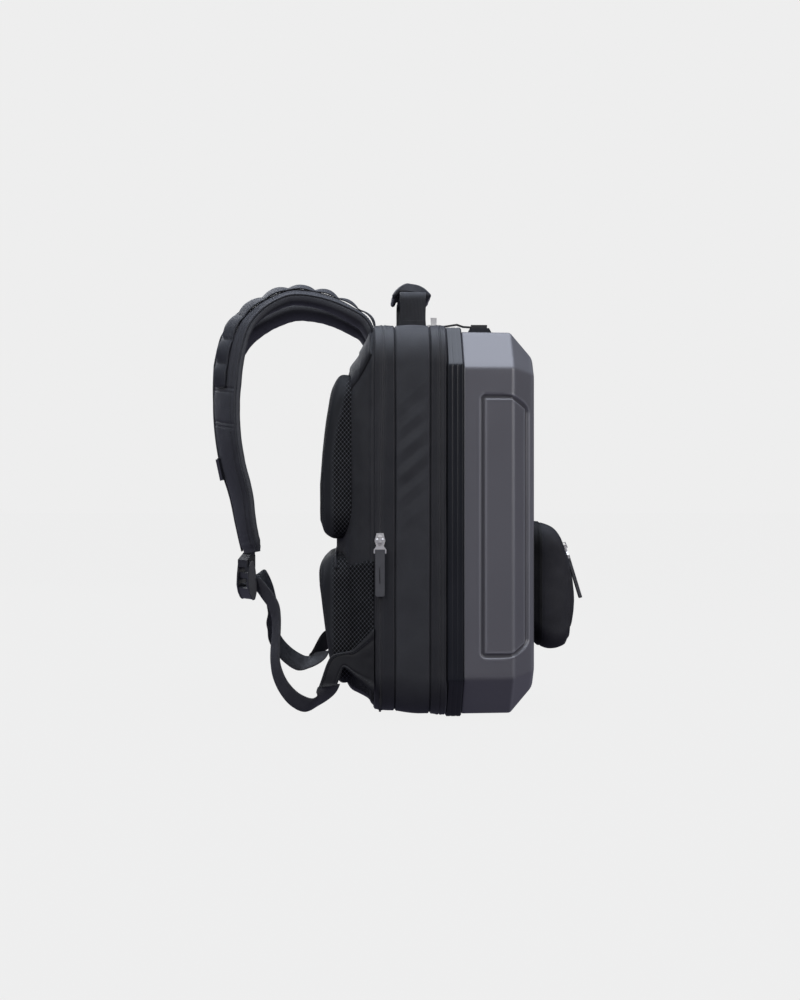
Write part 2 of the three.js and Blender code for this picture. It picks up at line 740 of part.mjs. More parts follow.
// The pull's metal end: a round pivot through the bridge, two arms, a plate and two prongs
function pullGeometry() {
  const arm = bridgeWidth / 2 + armGap;
  const reach = arm + pullThickness;
  const pivot = new THREE.CylinderGeometry(pivotRadius, pivotRadius, 2 * reach, 10);
  pivot.rotateZ(Math.PI / 2).translate(0, pivotHeight, 0);
  const [low, high] = [pivotHeight - pullThickness / 2, pivotHeight + pullThickness / 2];
  const prongPlace = (pullWidth - prongWidth) / 2;
  const armPlace = arm + pullThickness / 2;
  const armLength = 0.6 * sliderLength;
  const pieces = [pivot];
  for (const side of [-1, 1]) {
    pieces.push(box(pullThickness, pullThickness, armLength, side * armPlace, pivotHeight, -armLength / 2));
    const prong = box(prongWidth, pullThickness, prongLength);
    pieces.push(prong.translate(side * prongPlace, pivotHeight, -0.95 * sliderLength));
  }
  const plate = prismPlate([
    [0.28, -0.5], [0.5, -0.8], [-0.5, -0.8], [-0.28, -0.5],
  ], pullWidth, sliderLength, low, high);
  return join(plate, ...pieces);
}

function pullTabGeometry() {
  const top = -0.8 * sliderLength - clearance;
  const chamfer = pullTabChamfer;
  const half = pullTabWidth / 2;
  const outlinePoints = [
    [-half, top], [half, top], [half, top - pullTabLength + chamfer], [half - chamfer, top - pullTabLength],
    [chamfer - half, top - pullTabLength], [-half, top - pullTabLength + chamfer],
  ];
  const low = pivotHeight - pullTabThickness / 2;
  return prismPlate(outlinePoints, 1, 1, low, low + pullTabThickness);
}

// A slider in a group that the caller puts on the cloth, with its pull turned about the pivot
function zipSlider(name, pullTurn = 0) {
  const group = new THREE.Group();
  const hanging = new THREE.Group();
  hanging.add(part(`${name}_pull`, pullGeometry().translate(0, -pivotHeight, 0), steel));
  hanging.add(part(`${name}_pull_tab`, pullTabGeometry().translate(0, -pivotHeight, 0), rubber));
  hanging.position.y = pivotHeight;
  hanging.rotation.x = THREE.MathUtils.degToRad(pullTurn);
  group.add(part(`${name}_slider`, sliderGeometry(), steel), hanging);
  return group;
}

const backCoil = gussetBack + 0.72 * backZipDepth;
const frontCoil = frameBack + 0.47 * frontZipDepth;

function sideZip() {
  const group = zipSlider('side_zip');
  group.position.set(-softShape(backCoil, 0).half, backCoil, sideSliderLevel);
  group.rotation.z = Math.PI / 2;
  return group;
}

// Top slider, with its thin puller laid over the frame and its end held in the lock dock
const dockX = -0.515 * halfWidth;
const topSliderShift = 3;
const dockFront = frameFront - 0.66 * shellSideDepth;

function topSlider() {
  const high = softTop + coilProud;
  const plate = box(sliderWidth, sliderLength, sliderThickness, 0, 0, sliderThickness / 2 + clearance);
  const bridge = box(bridgeWidth, 0.5 * sliderLength, topBridgeHeight);
  bridge.translate(0, 0, sliderThickness + topBridgeHeight / 2);
  return join(plate, bridge).translate(dockX, frontCoil + topSliderShift, high);
}

function topPuller() {
  const high = softTop + coilProud + sliderThickness;
  const start = frontCoil + topSliderShift - sliderLength / 2 - clearance;
  const end = dockFront + 0.85 * dockLength;
  const stub = bodyHeight - shellTopInset + dockHeight + 1.5 * pullerRise;
  const line = [
    [start, high - 0.5 * pullerRise], [mix(start, end, 0.55), high + pullerRise],
    [mix(start, end, 0.75), high - 0.25 * pullerRise], [end, stub],
  ];
  const under = line.map(([y, z]) => [y, z - webbingThickness]).reverse();
  return prismAcross([...line, ...under], pullerWidth).translate(dockX, 0, 0);
}

function pullerStub() {
  const low = bodyHeight - shellTopInset + dockHeight + clearance + stubGap;
  const length = 0.66 * dockLength;
  const middle = dockFront + 0.85 * dockLength - clearance - length / 2;
  return box(stubWidth, length, stubHeight, dockX, middle, low + stubHeight / 2);
}

function lockDock() {
  const low = bodyHeight - shellTopInset + clearance;
  const points = [[0, 0], [1, 0], [0.9, 1], [0.12, 1]];
  const outlinePoints = points.map(([y, z]) => [dockFront + y * dockLength, low + z * dockHeight]);
  return prismAcross(outlinePoints, dockWidth).translate(dockX, 0, 0);
}

// Front pouch: a hollow dome, open towards the shell that closes it
const pouchRows = [
  { out: 0.0, low: 0.0, high: 0.0, side: 0.0 },
  { out: 0.15, low: -0.043, high: 0.014, side: -0.01 },
  { out: 0.4, low: -0.057, high: 0.05, side: 0.0 },
  { out: 0.65, low: -0.043, high: 0.17, side: 0.03 },
  { out: 0.8, low: 0.014, high: 0.34, side: 0.08 },
  { out: 0.93, low: 0.114, high: 0.49, side: 0.17 },
  { out: 1.0, low: 0.23, high: 0.586, side: 0.3 },
];

function pouchSection({ out, low, high, side }, inset) {
  return sectionAt(shellFront - clearance - out * pouchDepth + (out > 0 ? inset : 0), {
    half: (pouchWidth / 2) * (1 - side) - inset,
    low: pouchLow + low * pouchHeight + inset,
    high: pouchLow + pouchHeight * (1 - high) - inset,
    corner: pouchCorner * (1 - out * 0.6) - inset,
    steps: 4,
  });
}

function pouch() {
  const outer = pouchRows.map((row) => pouchSection(row, 0));
  const inner = pouchRows.map((row) => pouchSection(row, pouchWall));
  return loft([...outer.reverse(), ...inner]);
}

// The pouch's slider lies on its sloping upper front, and its pull hangs a little steeper
const pouchSlope = 24;
const pouchPullTurn = -7;
const pouchSliderPlace = 0.35;

function pouchZip() {
  const group = zipSlider('pouch_zip', pouchPullTurn);
  const [upper, lower] = [pouchRows[3], pouchRows[4]];
  const y = shellFront - clearance - mix(upper.out, lower.out, pouchSliderPlace) * pouchDepth;
  const z = pouchLow + pouchHeight * (1 - mix(upper.high, lower.high, pouchSliderPlace));
  group.position.set(-0.35 * pouchWidth, y, z);
  group.rotation.order = 'ZYX';
  group.rotation.z = Math.PI;
  group.rotation.x = THREE.MathUtils.degToRad(pouchSlope);
  return group;
}

// Materials
const finish = (color, roughness, metalness = 0) =>
  new THREE.MeshStandardMaterial({ color, roughness, metalness });
const shellFinish = finish('#55545a', 0.35, 0.3);
const frameFinish = finish('#1f2226', 0.3);
const fabric = finish('#2f3034', 0.8);
const zipTape = finish('#26272b', 0.75);
const mesh = finish('#1c1d20', 0.9);
const webbing = finish('#2a2c31', 0.7);
const plastic = finish('#25272c', 0.4);
const rubber = finish('#4a4a4c', 0.6);
const steel = finish('#c9c6be', 0.3, 1);

function part(name, geometry, material) {
  const piece = new THREE.Mesh(geometry, material);
  piece.name = name;
  return piece;
}

const sideName = (side) => (side < 0 ? 'left' : 'right');

const group = new THREE.Group();
group.add(
  part('shell', shell(), shellFinish),
  part('shell_frame', shellFrame(), frameFinish),
  part('zip_band_front', zipBand(frameBack, gussetFront, frontCoil), zipTape),
  part('gusset', gusset(), fabric),
  part('zip_band_back', zipBand(gussetBack, backSeam, backCoil), zipTape),
  part('back_panel', backPanel(), fabric),
  part('upper_pad', pad(upperPadRows, upperPadLow, upperPadHeight, upperPadThickness), mesh),
  part('lower_pad', lowerPad(), mesh),
  part('handle_webbing', handleWebbingStrip(), webbing),
  part('handle_grip', handleGrip(), webbing),
  part('pouch', pouch(), fabric),
  part('top_zip_slider', topSlider(), steel),
  part('top_puller', topPuller(), rubber),
  part('puller_stub', pullerStub(), rubber),
  part('lock_dock', lockDock(), plastic),
  sideZip(),
  pouchZip(),
);
for (const side of [-1, 1]) {
  const name = sideName(side);
  group.add(
    part(`strap_pad_${name}`, strapPad(side), fabric),
    part(`daisy_chain_${name}`, daisyChain(side), webbing),
    part(`lower_webbing_${name}`, lowerWebbing(side), webbing),
    part(`corner_tab_${name}`, cornerTab(side), fabric),
    strapSlide(side),
    ladderLock(side),
  );
}

export default group;
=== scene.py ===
import bmesh
import bpy
import math
import numpy as np
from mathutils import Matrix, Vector


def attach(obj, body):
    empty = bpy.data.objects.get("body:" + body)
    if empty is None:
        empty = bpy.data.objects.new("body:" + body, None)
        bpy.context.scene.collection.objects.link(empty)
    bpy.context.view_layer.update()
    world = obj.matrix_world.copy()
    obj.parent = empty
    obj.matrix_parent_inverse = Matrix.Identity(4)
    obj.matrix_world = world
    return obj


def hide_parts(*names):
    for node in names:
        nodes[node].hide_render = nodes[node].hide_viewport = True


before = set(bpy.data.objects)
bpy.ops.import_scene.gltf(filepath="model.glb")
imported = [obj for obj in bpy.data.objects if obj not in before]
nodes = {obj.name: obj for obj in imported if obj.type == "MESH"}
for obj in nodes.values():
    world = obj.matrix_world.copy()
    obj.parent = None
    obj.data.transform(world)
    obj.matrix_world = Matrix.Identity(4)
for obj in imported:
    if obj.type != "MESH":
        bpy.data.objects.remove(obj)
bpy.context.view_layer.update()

# Sizes shared with the part's source, in millimetres
BODY_WIDTH = 310.0
BODY_HEIGHT = 444.0
HALF = BODY_WIDTH / 2
FRAME_FRONT, FRAME_BACK = -9.0, 9.0
GUSSET_FRONT, GUSSET_BACK, BACK_SEAM = 28.0, 67.0, 91.0
RIDGE, SHELL_FRONT = -65.0, -92.0
PANEL_DEPTH = 42.0
SOFT_TOP = 445.5
SOFT_HALF = 154.0
STRAP_REACH = 178.0
STRAP_WIDTH = 62.0
STRAP_THICKNESS = 11.0
RIGHT_SWING, RIGHT_TURN, RIGHT_LIFT = 26.0, 0.3, 27.0
WEBBING_WIDTH = 25.0
POUCH_WIDTH, POUCH_LOW, POUCH_HEIGHT, POUCH_DEPTH = 200.0, 84.0, 140.0, 51.5

MM = 0.001
JOIN_DISTANCE = 2e-6  # metres, like everything in a mesh


# Small helpers on numbers and arrays
def mix(a, b, share):
    return a + (b - a) * share


def smooth(low, high, value):
    share = np.clip((value - low) / (high - low), 0.0, 1.0)
    return share * share * (3 - 2 * share)


def bump(value, centre, width):
    return np.exp(-(((value - centre) / width) ** 2))


def noise3(points, scale, seed=0):
    """Smooth value noise from -1 to 1 at points (n, 3), features about scale across."""
    q = points / scale + np.array([3.7, 9.1, 5.3]) * (seed + 1)
    cell = np.floor(q).astype(np.int64)
    part = q - cell
    part = part * part * (3 - 2 * part)
    total = np.zeros(len(points))
    for dx in (0, 1):
        for dy in (0, 1):
            for dz in (0, 1):
                n = (cell[:, 0] + dx) * 73856093 ^ (cell[:, 1] + dy) * 19349663
                n = (n ^ (cell[:, 2] + dz) * 83492791 ^ (seed * 7919)) & 0xFFFFFFFF
                n = ((n ^ (n >> 13)) * 1274126177) & 0xFFFFFFFF
                n = ((n ^ (n >> 16)) & 0xFFFF) / 65535.0
                weight = np.where(dx, part[:, 0], 1 - part[:, 0])
                weight = weight * np.where(dy, part[:, 1], 1 - part[:, 1])
                total += n * weight * np.where(dz, part[:, 2], 1 - part[:, 2])
    return total * 2 - 1


def spline_rows(rows, count):
    """Catmull-Rom through equally spaced rows of numbers, read at count places."""
    rows = np.asarray(rows, float)
    last = len(rows) - 1
    place = np.linspace(0, last, count)
    i = np.minimum(place.astype(int), last - 1)
    t = (place - i)[:, None]
    padded = np.vstack([2 * rows[0] - rows[1], rows, 2 * rows[-1] - rows[-2]])
    a, b, c, d = padded[i], padded[i + 1], padded[i + 2], padded[i + 3]
    out = 0.5 * (2 * b + (c - a) * t + (2 * a - 5 * b + 4 * c - d) * t ** 2)
    return out + 0.5 * (3 * b - a - 3 * c + d) * t ** 3


def centripetal(points, count):
    """The same centripetal Catmull-Rom curve as the part's source uses: places and parameters."""
    points = np.asarray(points, float)
    last = len(points) - 1
    padded = np.vstack([2 * points[0] - points[1], points, 2 * points[-1] - points[-2]])
    level = np.linspace(0, last, count)
    i = np.minimum(level.astype(int), last - 1)
    t = (level - i)[:, None]
    p = [padded[i + k] for k in range(4)]
    d = [np.maximum(np.sum((p[k + 1] - p[k]) ** 2, axis=1) ** 0.25, 1e-4)[:, None] for k in range(3)]
    t1 = (p[1] - p[0]) / d[0] - (p[2] - p[0]) / (d[0] + d[1]) + (p[2] - p[1]) / d[1]
    t2 = (p[2] - p[1]) / d[1] - (p[3] - p[1]) / (d[1] + d[2]) + (p[3] - p[2]) / d[2]
    t1, t2 = t1 * d[1], t2 * d[1]
    c2 = -3 * p[1] + 3 * p[2] - 2 * t1 - t2
    c3 = 2 * p[1] - 2 * p[2] + t1 + t2
    return p[1] + t1 * t + c2 * t ** 2 + c3 * t ** 3, level


def unit(v):
    return v / np.maximum(np.linalg.norm(v, axis=-1, keepdims=True), 1e-9)


def running_length(points):
    """Length along a polyline up to each of its points."""
    return np.concatenate([[0], np.cumsum(np.linalg.norm(np.diff(points, axis=0), axis=1))])


def read_table(at, lengths, table):
    """Every column of a table, read at places along its lengths."""
    return np.stack([np.interp(at, lengths, table[:, k]) for k in range(table.shape[1])], axis=1)


def even_steps(points, step):
    """Points spaced evenly along a polyline (n, 3)."""
    points = np.asarray(points, float)
    lengths = running_length(points)
    count = max(2, int(lengths[-1] / step) + 1)
    return read_table(np.linspace(0, lengths[-1], count), lengths, points)


def at_depth(points, y):
    """An outline (n, 2) in x and z, set at one depth y."""
    return np.column_stack([points[:, 0], np.full(len(points), y), points[:, 1]])


def rumple(grid, coarse, coarse_size, fine, fine_size, seed):
    """Soft unevenness of cloth over a grid: a coarse and a fine noise."""
    flat = grid.reshape(-1, 3)
    swell = coarse * noise3(flat, coarse_size, seed) + fine * noise3(flat, fine_size, seed + 1)
    return swell.reshape(grid.shape[:2])


def strip_uv(rim, way):
    """Coordinates in mm of a strip: round its rim and along its way."""
    return np.stack(np.broadcast_arrays(rim[None], way[:, None]), axis=2)


# Meshes
def add_object(name, data):
    thing = bpy.data.objects.new(name, data)
    bpy.context.scene.collection.objects.link(thing)
    return thing


def make_piece(name, verts, faces, slot, body="bag", uv=None, marks=None, smooth_faces=True):
    mesh = bpy.data.meshes.new(name)
    mesh.from_pydata((np.asarray(verts, float) * MM).tolist(), [], [list(map(int, f)) for f in faces])
    if uv is not None:
        layer = mesh.uv_layers.new(name="mm")
        index = np.zeros(len(mesh.loops), dtype=np.int32)
        mesh.loops.foreach_get("vertex_index", index)
        layer.data.foreach_set("uv", np.asarray(uv, float)[index].ravel())
    for key, values in (marks or {}).items():
        mark = mesh.attributes.new(key, "FLOAT", "POINT")
        mark.data.foreach_set("value", np.ascontiguousarray(values, dtype=np.float32).ravel())
    piece = add_object(name, mesh)
    mesh.materials.append(MATERIALS[slot])
    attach(piece, body)
    join_doubles(mesh)
    mesh.polygons.foreach_set("use_smooth", [smooth_faces] * len(mesh.polygons))
    return piece


def join_doubles(mesh):
    """Joins points that fall together and turns all faces outwards."""
    work = bmesh.new()
    work.from_mesh(mesh)
    bmesh.ops.remove_doubles(work, verts=work.verts, dist=JOIN_DISTANCE)
    bmesh.ops.recalc_face_normals(work, faces=work.faces)
    work.to_mesh(mesh)
    work.free()


def grid_faces(rows, cols, first=0):
    """Quads between rings of cols points, each ring closed on itself."""
    faces = []
    for r in range(rows - 1):
        low, high = first + r * cols, first + (r + 1) * cols
        for c in range(cols):
            d = (c + 1) % cols
            faces.append([low + c, low + d, high + d, high + c])
    return faces


def grid_normals(grid):
    """Unit normals of a grid (rows, cols, 3) of points, by differences."""
    over = np.roll(grid, -1, axis=1) - np.roll(grid, 1, axis=1)
    return unit(np.cross(over, np.gradient(grid, axis=0)))


def outward(normals, grid, centre):
    away = np.sum(normals * (grid - centre), axis=-1).mean()
    return normals if away > 0 else -normals


def grid_piece(name, grid, slot, capped=False, uv=None, marks=None):
    rows, cols = grid.shape[:2]
    faces = grid_faces(rows, cols)
    if capped:
        faces.append(list(range(cols))[::-1])
        faces.append([(rows - 1) * cols + c for c in range(cols)])
    flat_uv = None if uv is None else uv.reshape(-1, 2)
    return make_piece(name, grid.reshape(-1, 3), faces, slot, uv=flat_uv, marks=marks)


def tube(name, path, radius, slot, sides):
    """A round cord along a path, with its rings measured from the x axis."""
    tangent = unit(np.gradient(path, axis=0))
    side = unit(np.array([1.0, 0.0, 0.0]) - tangent * tangent[:, :1])
    normal = np.cross(tangent, side)
    angle = np.linspace(0, 2 * np.pi, sides, endpoint=False)
    ring = np.cos(angle)[None, :, None] * side[:, None] + np.sin(angle)[None, :, None] * normal[:, None]
    grid_piece(name, path[:, None] + ring * radius, slot, capped=True)


def dashes(name, paths, slot, step, length, radius, body="bag"):
    """Stitches: short rounded threads lying end to end along paths."""
    verts, faces = [], []
    ring = [(math.cos(a), math.sin(a)) for a in np.linspace(0, 2 * math.pi, 5, endpoint=False)]
    for path in paths:
        points = even_steps(path, step)
        for a, b in zip(points[:-1], points[1:]):
            line = b - a
            size = np.linalg.norm(line)
            if size < 1e-6:
                continue
            line = line / size
            middle = (a + b) / 2
            helper = np.array([1.0, 0, 0]) if abs(line[0]) < 0.8 else np.array([0, 1.0, 0])
            side = unit(np.cross(line, helper))
            normal = np.cross(line, side)
            first = len(verts)
            for along, scale in ((-0.5, 0.35), (-0.3, 1.0), (0.3, 1.0), (0.5, 0.35)):
                for c, s in ring:
                    verts.append(middle + line * along * length + (side * c + normal * s) * radius * scale)
            faces += grid_faces(4, 5, first)
            faces.append([first + c for c in range(5)][::-1])
            faces.append([first + 15 + c for c in range(5)])
    make_piece(name, verts, faces, slot, body)


# Materials
class Graph:
    """Short names for building a node material."""

    def __init__(self, name, owner=None):
        self.material = owner or bpy.data.materials.new(name)
        self.material.use_nodes = True
        self.tree = self.material.node_tree
        self.shader = self.tree.nodes.get("Principled BSDF")

    def node(self, kind, inputs=None, **settings):
        made = self.tree.nodes.new(kind)
        for key, value in settings.items():
            setattr(made, key, value)
        for key, value in (inputs or {}).items():
            self.put(made.inputs[key], value)
        return made

    def put(self, socket, value):
        if isinstance(value, bpy.types.NodeSocket):
            self.tree.links.new(value, socket)
        else:
            socket.default_value = value

    def math(self, operation, *values):
        made = self.tree.nodes.new("ShaderNodeMath")
        made.operation = operation
        for socket, value in zip(made.inputs, values):
            self.put(socket, value)
        return made.outputs[0]

    def axes(self, output="Object"):
        coord = self.node("ShaderNodeTexCoord")
        split = self.node("ShaderNodeSeparateXYZ", {0: coord.outputs[output]})
        return coord.outputs[output], split.outputs

    def straight(self, value, slope, start):
        """start + slope * value"""
        return self.math("ADD", self.math("MULTIPLY", value, slope), start)

    def noise(self, vector, scale, detail=2.0):
        inputs = {"Vector": vector, "Scale": scale, "Detail": detail, "Roughness": 0.5}
        made = self.node("ShaderNodeTexNoise", inputs)
        return made.outputs["Fac"]

    def ramp(self, value, low, high):
        made = self.node("ShaderNodeMapRange", {"Value": value, "From Min": low, "From Max": high})
        made.interpolation_type = "SMOOTHSTEP"
        return made.outputs[0]

    def blend(self, share, a, b):
        made = self.node("ShaderNodeMix", data_type="RGBA")
        self.put(made.inputs[0], share)
        self.put(made.inputs[6], (*a, 1.0) if isinstance(a, tuple) else a)
        self.put(made.inputs[7], (*b, 1.0) if isinstance(b, tuple) else b)
        return made.outputs[2]

    def relief(self, height, distance, strength):
        made = self.node("ShaderNodeBump", {"Height": height, "Distance": distance, "Strength": strength})
        return made.outputs[0]

    def threads(self, place, pitch):
        """Crossed threads, pitch mm apart."""
        x, y, z = place
        return self.math("MULTIPLY", self.wave(z, pitch), self.wave(self.math("ADD", x, y), pitch))

    def wave(self, value, pitch):
        return self.math("SINE", self.math("MULTIPLY", value, 2 * math.pi / (pitch * MM)))

    def finish(self, color, roughness, normal=None, **sockets):
        self.put(self.shader.inputs["Base Color"], (*color, 1.0) if isinstance(color, tuple) else color)
        self.put(self.shader.inputs["Roughness"], roughness)
        if normal is not None:
            self.put(self.shader.inputs["Normal"], normal)
        for key, value in sockets.items():
            self.put(self.shader.inputs[key.replace("_", " ")], value)
        return self.material


def shell_material():
    g = Graph("satin graphite shell")
    where, _ = g.axes()
    grain = g.noise(where, 700.0, 2.0)
    cloud = g.noise(where, 14.0, 3.0)
    color = g.blend(cloud, SHELL_DARK, SHELL_LIGHT)
    painted_highlight, shade = (
        g.node("ShaderNodeAttribute", attribute_name=mark).outputs["Fac"] for mark in ("painted_highlight", "shade"))
    # Painted highlight: the colour is lightened along the groove's lips, the ridge and the front edge.
    color = g.blend(g.math("MULTIPLY", painted_highlight, 0.75), color, (0.19, 0.19, 0.205))
    # Painted shade: the colour is darkened down the middle of the groove's channel.
    color = g.blend(g.math("MULTIPLY", shade, 0.6), color, (0.030, 0.029, 0.033))
    rough = g.math("ADD", g.math("MULTIPLY", cloud, 0.05), g.math("MULTIPLY", grain, 0.05))
    rough = g.math("ADD", rough, 0.36)
    return g.finish(color, rough, None, Metallic=0.1, Coat_Weight=0.3, Coat_Roughness=0.3)


def frame_material():
    g = Graph("glossy black frame")
    where, _ = g.axes()
    cloud = g.noise(where, 22.0, 3.0)
    rough = g.straight(cloud, 0.1, 0.27)
    color = g.blend(cloud, (0.006, 0.007, 0.009), (0.011, 0.012, 0.015))
    return g.finish(color, rough, None, Specular_IOR_Level=0.36)


def cloth_material(name, dark, light, rough=0.62, weave=0.7, sheen=0.03):
    """Fine coated cloth: crossed threads, small slubs and cloudy colour."""
    g = Graph(name)
    where, place_in_bag = g.axes()
    threads = g.threads(place_in_bag, weave)
    slub = g.noise(where, 420.0, 3.0)
    cloud = g.noise(where, 26.0, 3.0)
    fine = g.noise(where, 1500.0, 2.0)
    mixed = g.math("ADD", g.math("MULTIPLY", cloud, 0.75), g.math("MULTIPLY", fine, 0.25))
    color = g.blend(g.ramp(mixed, 0.25, 0.75), dark, light)
    height = g.straight(threads, 0.35, slub)
    roughness = g.straight(slub, 0.12, rough - 0.06)
    return g.finish(color, roughness, g.relief(height, 0.00010, 0.6), Sheen_Weight=sheen, Sheen_Roughness=0.5,
                    Sheen_Tint=(0.75, 0.78, 1.0, 1.0), Specular_IOR_Level=0.3)


def webbing_material(name, dark, light, sheen=0.04):
    """Ribbed webbing: fine lengthwise ribs broken by cross threads, from coordinates in mm."""
    g = Graph(name)
    uv = g.node("ShaderNodeUVMap", uv_map="mm")
    split = g.node("ShaderNodeSeparateXYZ", {0: uv.outputs[0]})
    over, along = split.outputs[0], split.outputs[1]
    ribs = g.math("SINE", g.math("MULTIPLY", over, 2 * math.pi / 1.7))
    cross = g.straight(along, 2 * math.pi / 1.3, g.math("MULTIPLY", ribs, 1.6))
    cross = g.math("SINE", cross)
    where, _ = g.axes()
    cloud = g.noise(where, 60.0, 3.0)
    fine = g.noise(where, 1300.0, 2.0)
    height = g.math("ADD", g.math("MULTIPLY", ribs, 0.5), g.math("MULTIPLY", cross, 0.5))
    share = g.math("ADD", g.math("MULTIPLY", cloud, 0.7), g.math("MULTIPLY", height, 0.12))
    color = g.blend(g.ramp(share, 0.1, 0.7), dark, light)
    rough = g.straight(fine, 0.15, 0.52)
    return g.finish(color, rough, g.relief(height, 0.00018, 0.7), Sheen_Weight=sheen, Sheen_Roughness=0.45,
                    Sheen_Tint=(0.75, 0.8, 1.0, 1.0), Specular_IOR_Level=0.35)


HOLE_SPACING = (0.0045, 0.0053)  # metres across and up


def air_mesh_material():
    """Spacer mesh: a diamond lattice of small holes, which fades to smooth cloth at the rim."""
    g = Graph("air mesh")
    where, (x, y, z) = g.axes()
    geometry = g.node("ShaderNodeNewGeometry")
    facing = g.node("ShaderNodeSeparateXYZ", {0: geometry.outputs["Normal"]}).outputs
    side_on = g.ramp(g.math("ABSOLUTE", facing[0]), 0.45, 0.6)
    across = g.straight(y, side_on, g.math("MULTIPLY", x, g.math("SUBTRACT", 1.0, side_on)))
    a = g.math("COSINE", g.math("MULTIPLY", across, 2 * math.pi / HOLE_SPACING[0]))
    b = g.math("COSINE", g.math("MULTIPLY", z, 2 * math.pi / HOLE_SPACING[1]))
    hole = g.ramp(g.math("ABSOLUTE", g.math("ADD", a, b)), 0.20, 0.42)
    edge = g.math("SUBTRACT", 0.1372, g.math("MULTIPLY", g.ramp(z, 0.290, 0.395), 0.017))
    rim = g.ramp(g.math("SUBTRACT", y, edge), 0.004, -0.003)
    back = g.ramp(facing[1], 0.86, 0.95)
    open_part = g.math("MAXIMUM", rim, back)
    hole = g.math("MULTIPLY", hole, open_part)
    cloud = g.noise(where, 40.0, 3.0)
    face = g.blend(cloud, (0.0460, 0.0482, 0.0530), (0.0620, 0.0650, 0.0710))
    knit = g.blend(open_part, (0.0180, 0.0190, 0.0210), face)
    # The holes are painted nearly black: the openings, with painted shade for the dark depth inside them.
    color = g.blend(hole, knit, (0.0010, 0.0010, 0.0012))
    yarn = g.noise(where, 1100.0, 2.0)
    height = g.math("SUBTRACT", g.math("MULTIPLY", yarn, 0.25), hole)
    return g.finish(color, 0.7, g.relief(height, 0.0006, 0.8), Specular_IOR_Level=0.15)


def plastic_material(name, dark, light, rough=0.34):
    g = Graph(name)
    where, _ = g.axes()
    cloud = g.noise(where, 90.0, 3.0)
    color = g.blend(cloud, dark, light)
    roughness = g.straight(g.noise(where, 300.0), 0.14, rough - 0.07)
    grain = g.relief(g.noise(where, 2200.0), 0.00004, 0.4)
    return g.finish(color, roughness, grain, Coat_Weight=0.15, Coat_Roughness=0.3)


def rubber_material(name, dark, light):
    g = Graph(name)
    where, _ = g.axes()
    color = g.blend(g.noise(where, 120.0, 3.0), dark, light)
    pores = g.noise(where, 1900.0, 2.0)
    return g.finish(color, g.straight(pores, 0.15, 0.5), g.relief(pores, 0.00006, 0.5))


def pouch_material():
    """Pouch cloth: matt dark grey, with a nearly black band next to the shell: the gusset's dark cloth,
    deepened by painted shade.
    """
    g = Graph("pouch cloth")
    where, (x, y, z) = g.axes()
    threads = g.threads((x, y, z), 0.8)
    slub = g.noise(where, 420.0, 3.0)
    cloud = g.noise(where, 30.0, 3.0)
    cloth = g.blend(g.ramp(cloud, 0.25, 0.75), (0.0135, 0.0132, 0.0160), (0.0215, 0.0212, 0.0250))
    # Painted shade with the gusset's dark cloth: nearly black in the strip next to the shell.
    gusset = g.straight(g.ramp(z, 0.200, 0.080), 0.0075, -0.0975)
    color = g.blend(g.ramp(g.math("ADD", y, gusset), 0.0012, -0.0012), cloth, (0.0015, 0.0015, 0.0022))
    color = g.blend(g.ramp(y, -0.1025, -0.1040), (0.0018, 0.0018, 0.0025), cloth)
    height = g.straight(threads, 0.35, slub)
    return g.finish(color, 0.6, g.relief(height, 0.0001, 0.6), Specular_IOR_Level=0.2)


def metal_material():
    g = Graph("bright nickel")
    where, _ = g.axes()
    color = g.blend(g.noise(where, 160.0, 3.0), (0.80, 0.78, 0.74), (0.93, 0.91, 0.87))
    rough = g.straight(g.noise(where, 700.0, 3.0), 0.16, 0.27)
    return g.finish(color, rough, g.relief(g.noise(where, 1500.0), 0.00003, 0.3), Metallic=0.75)


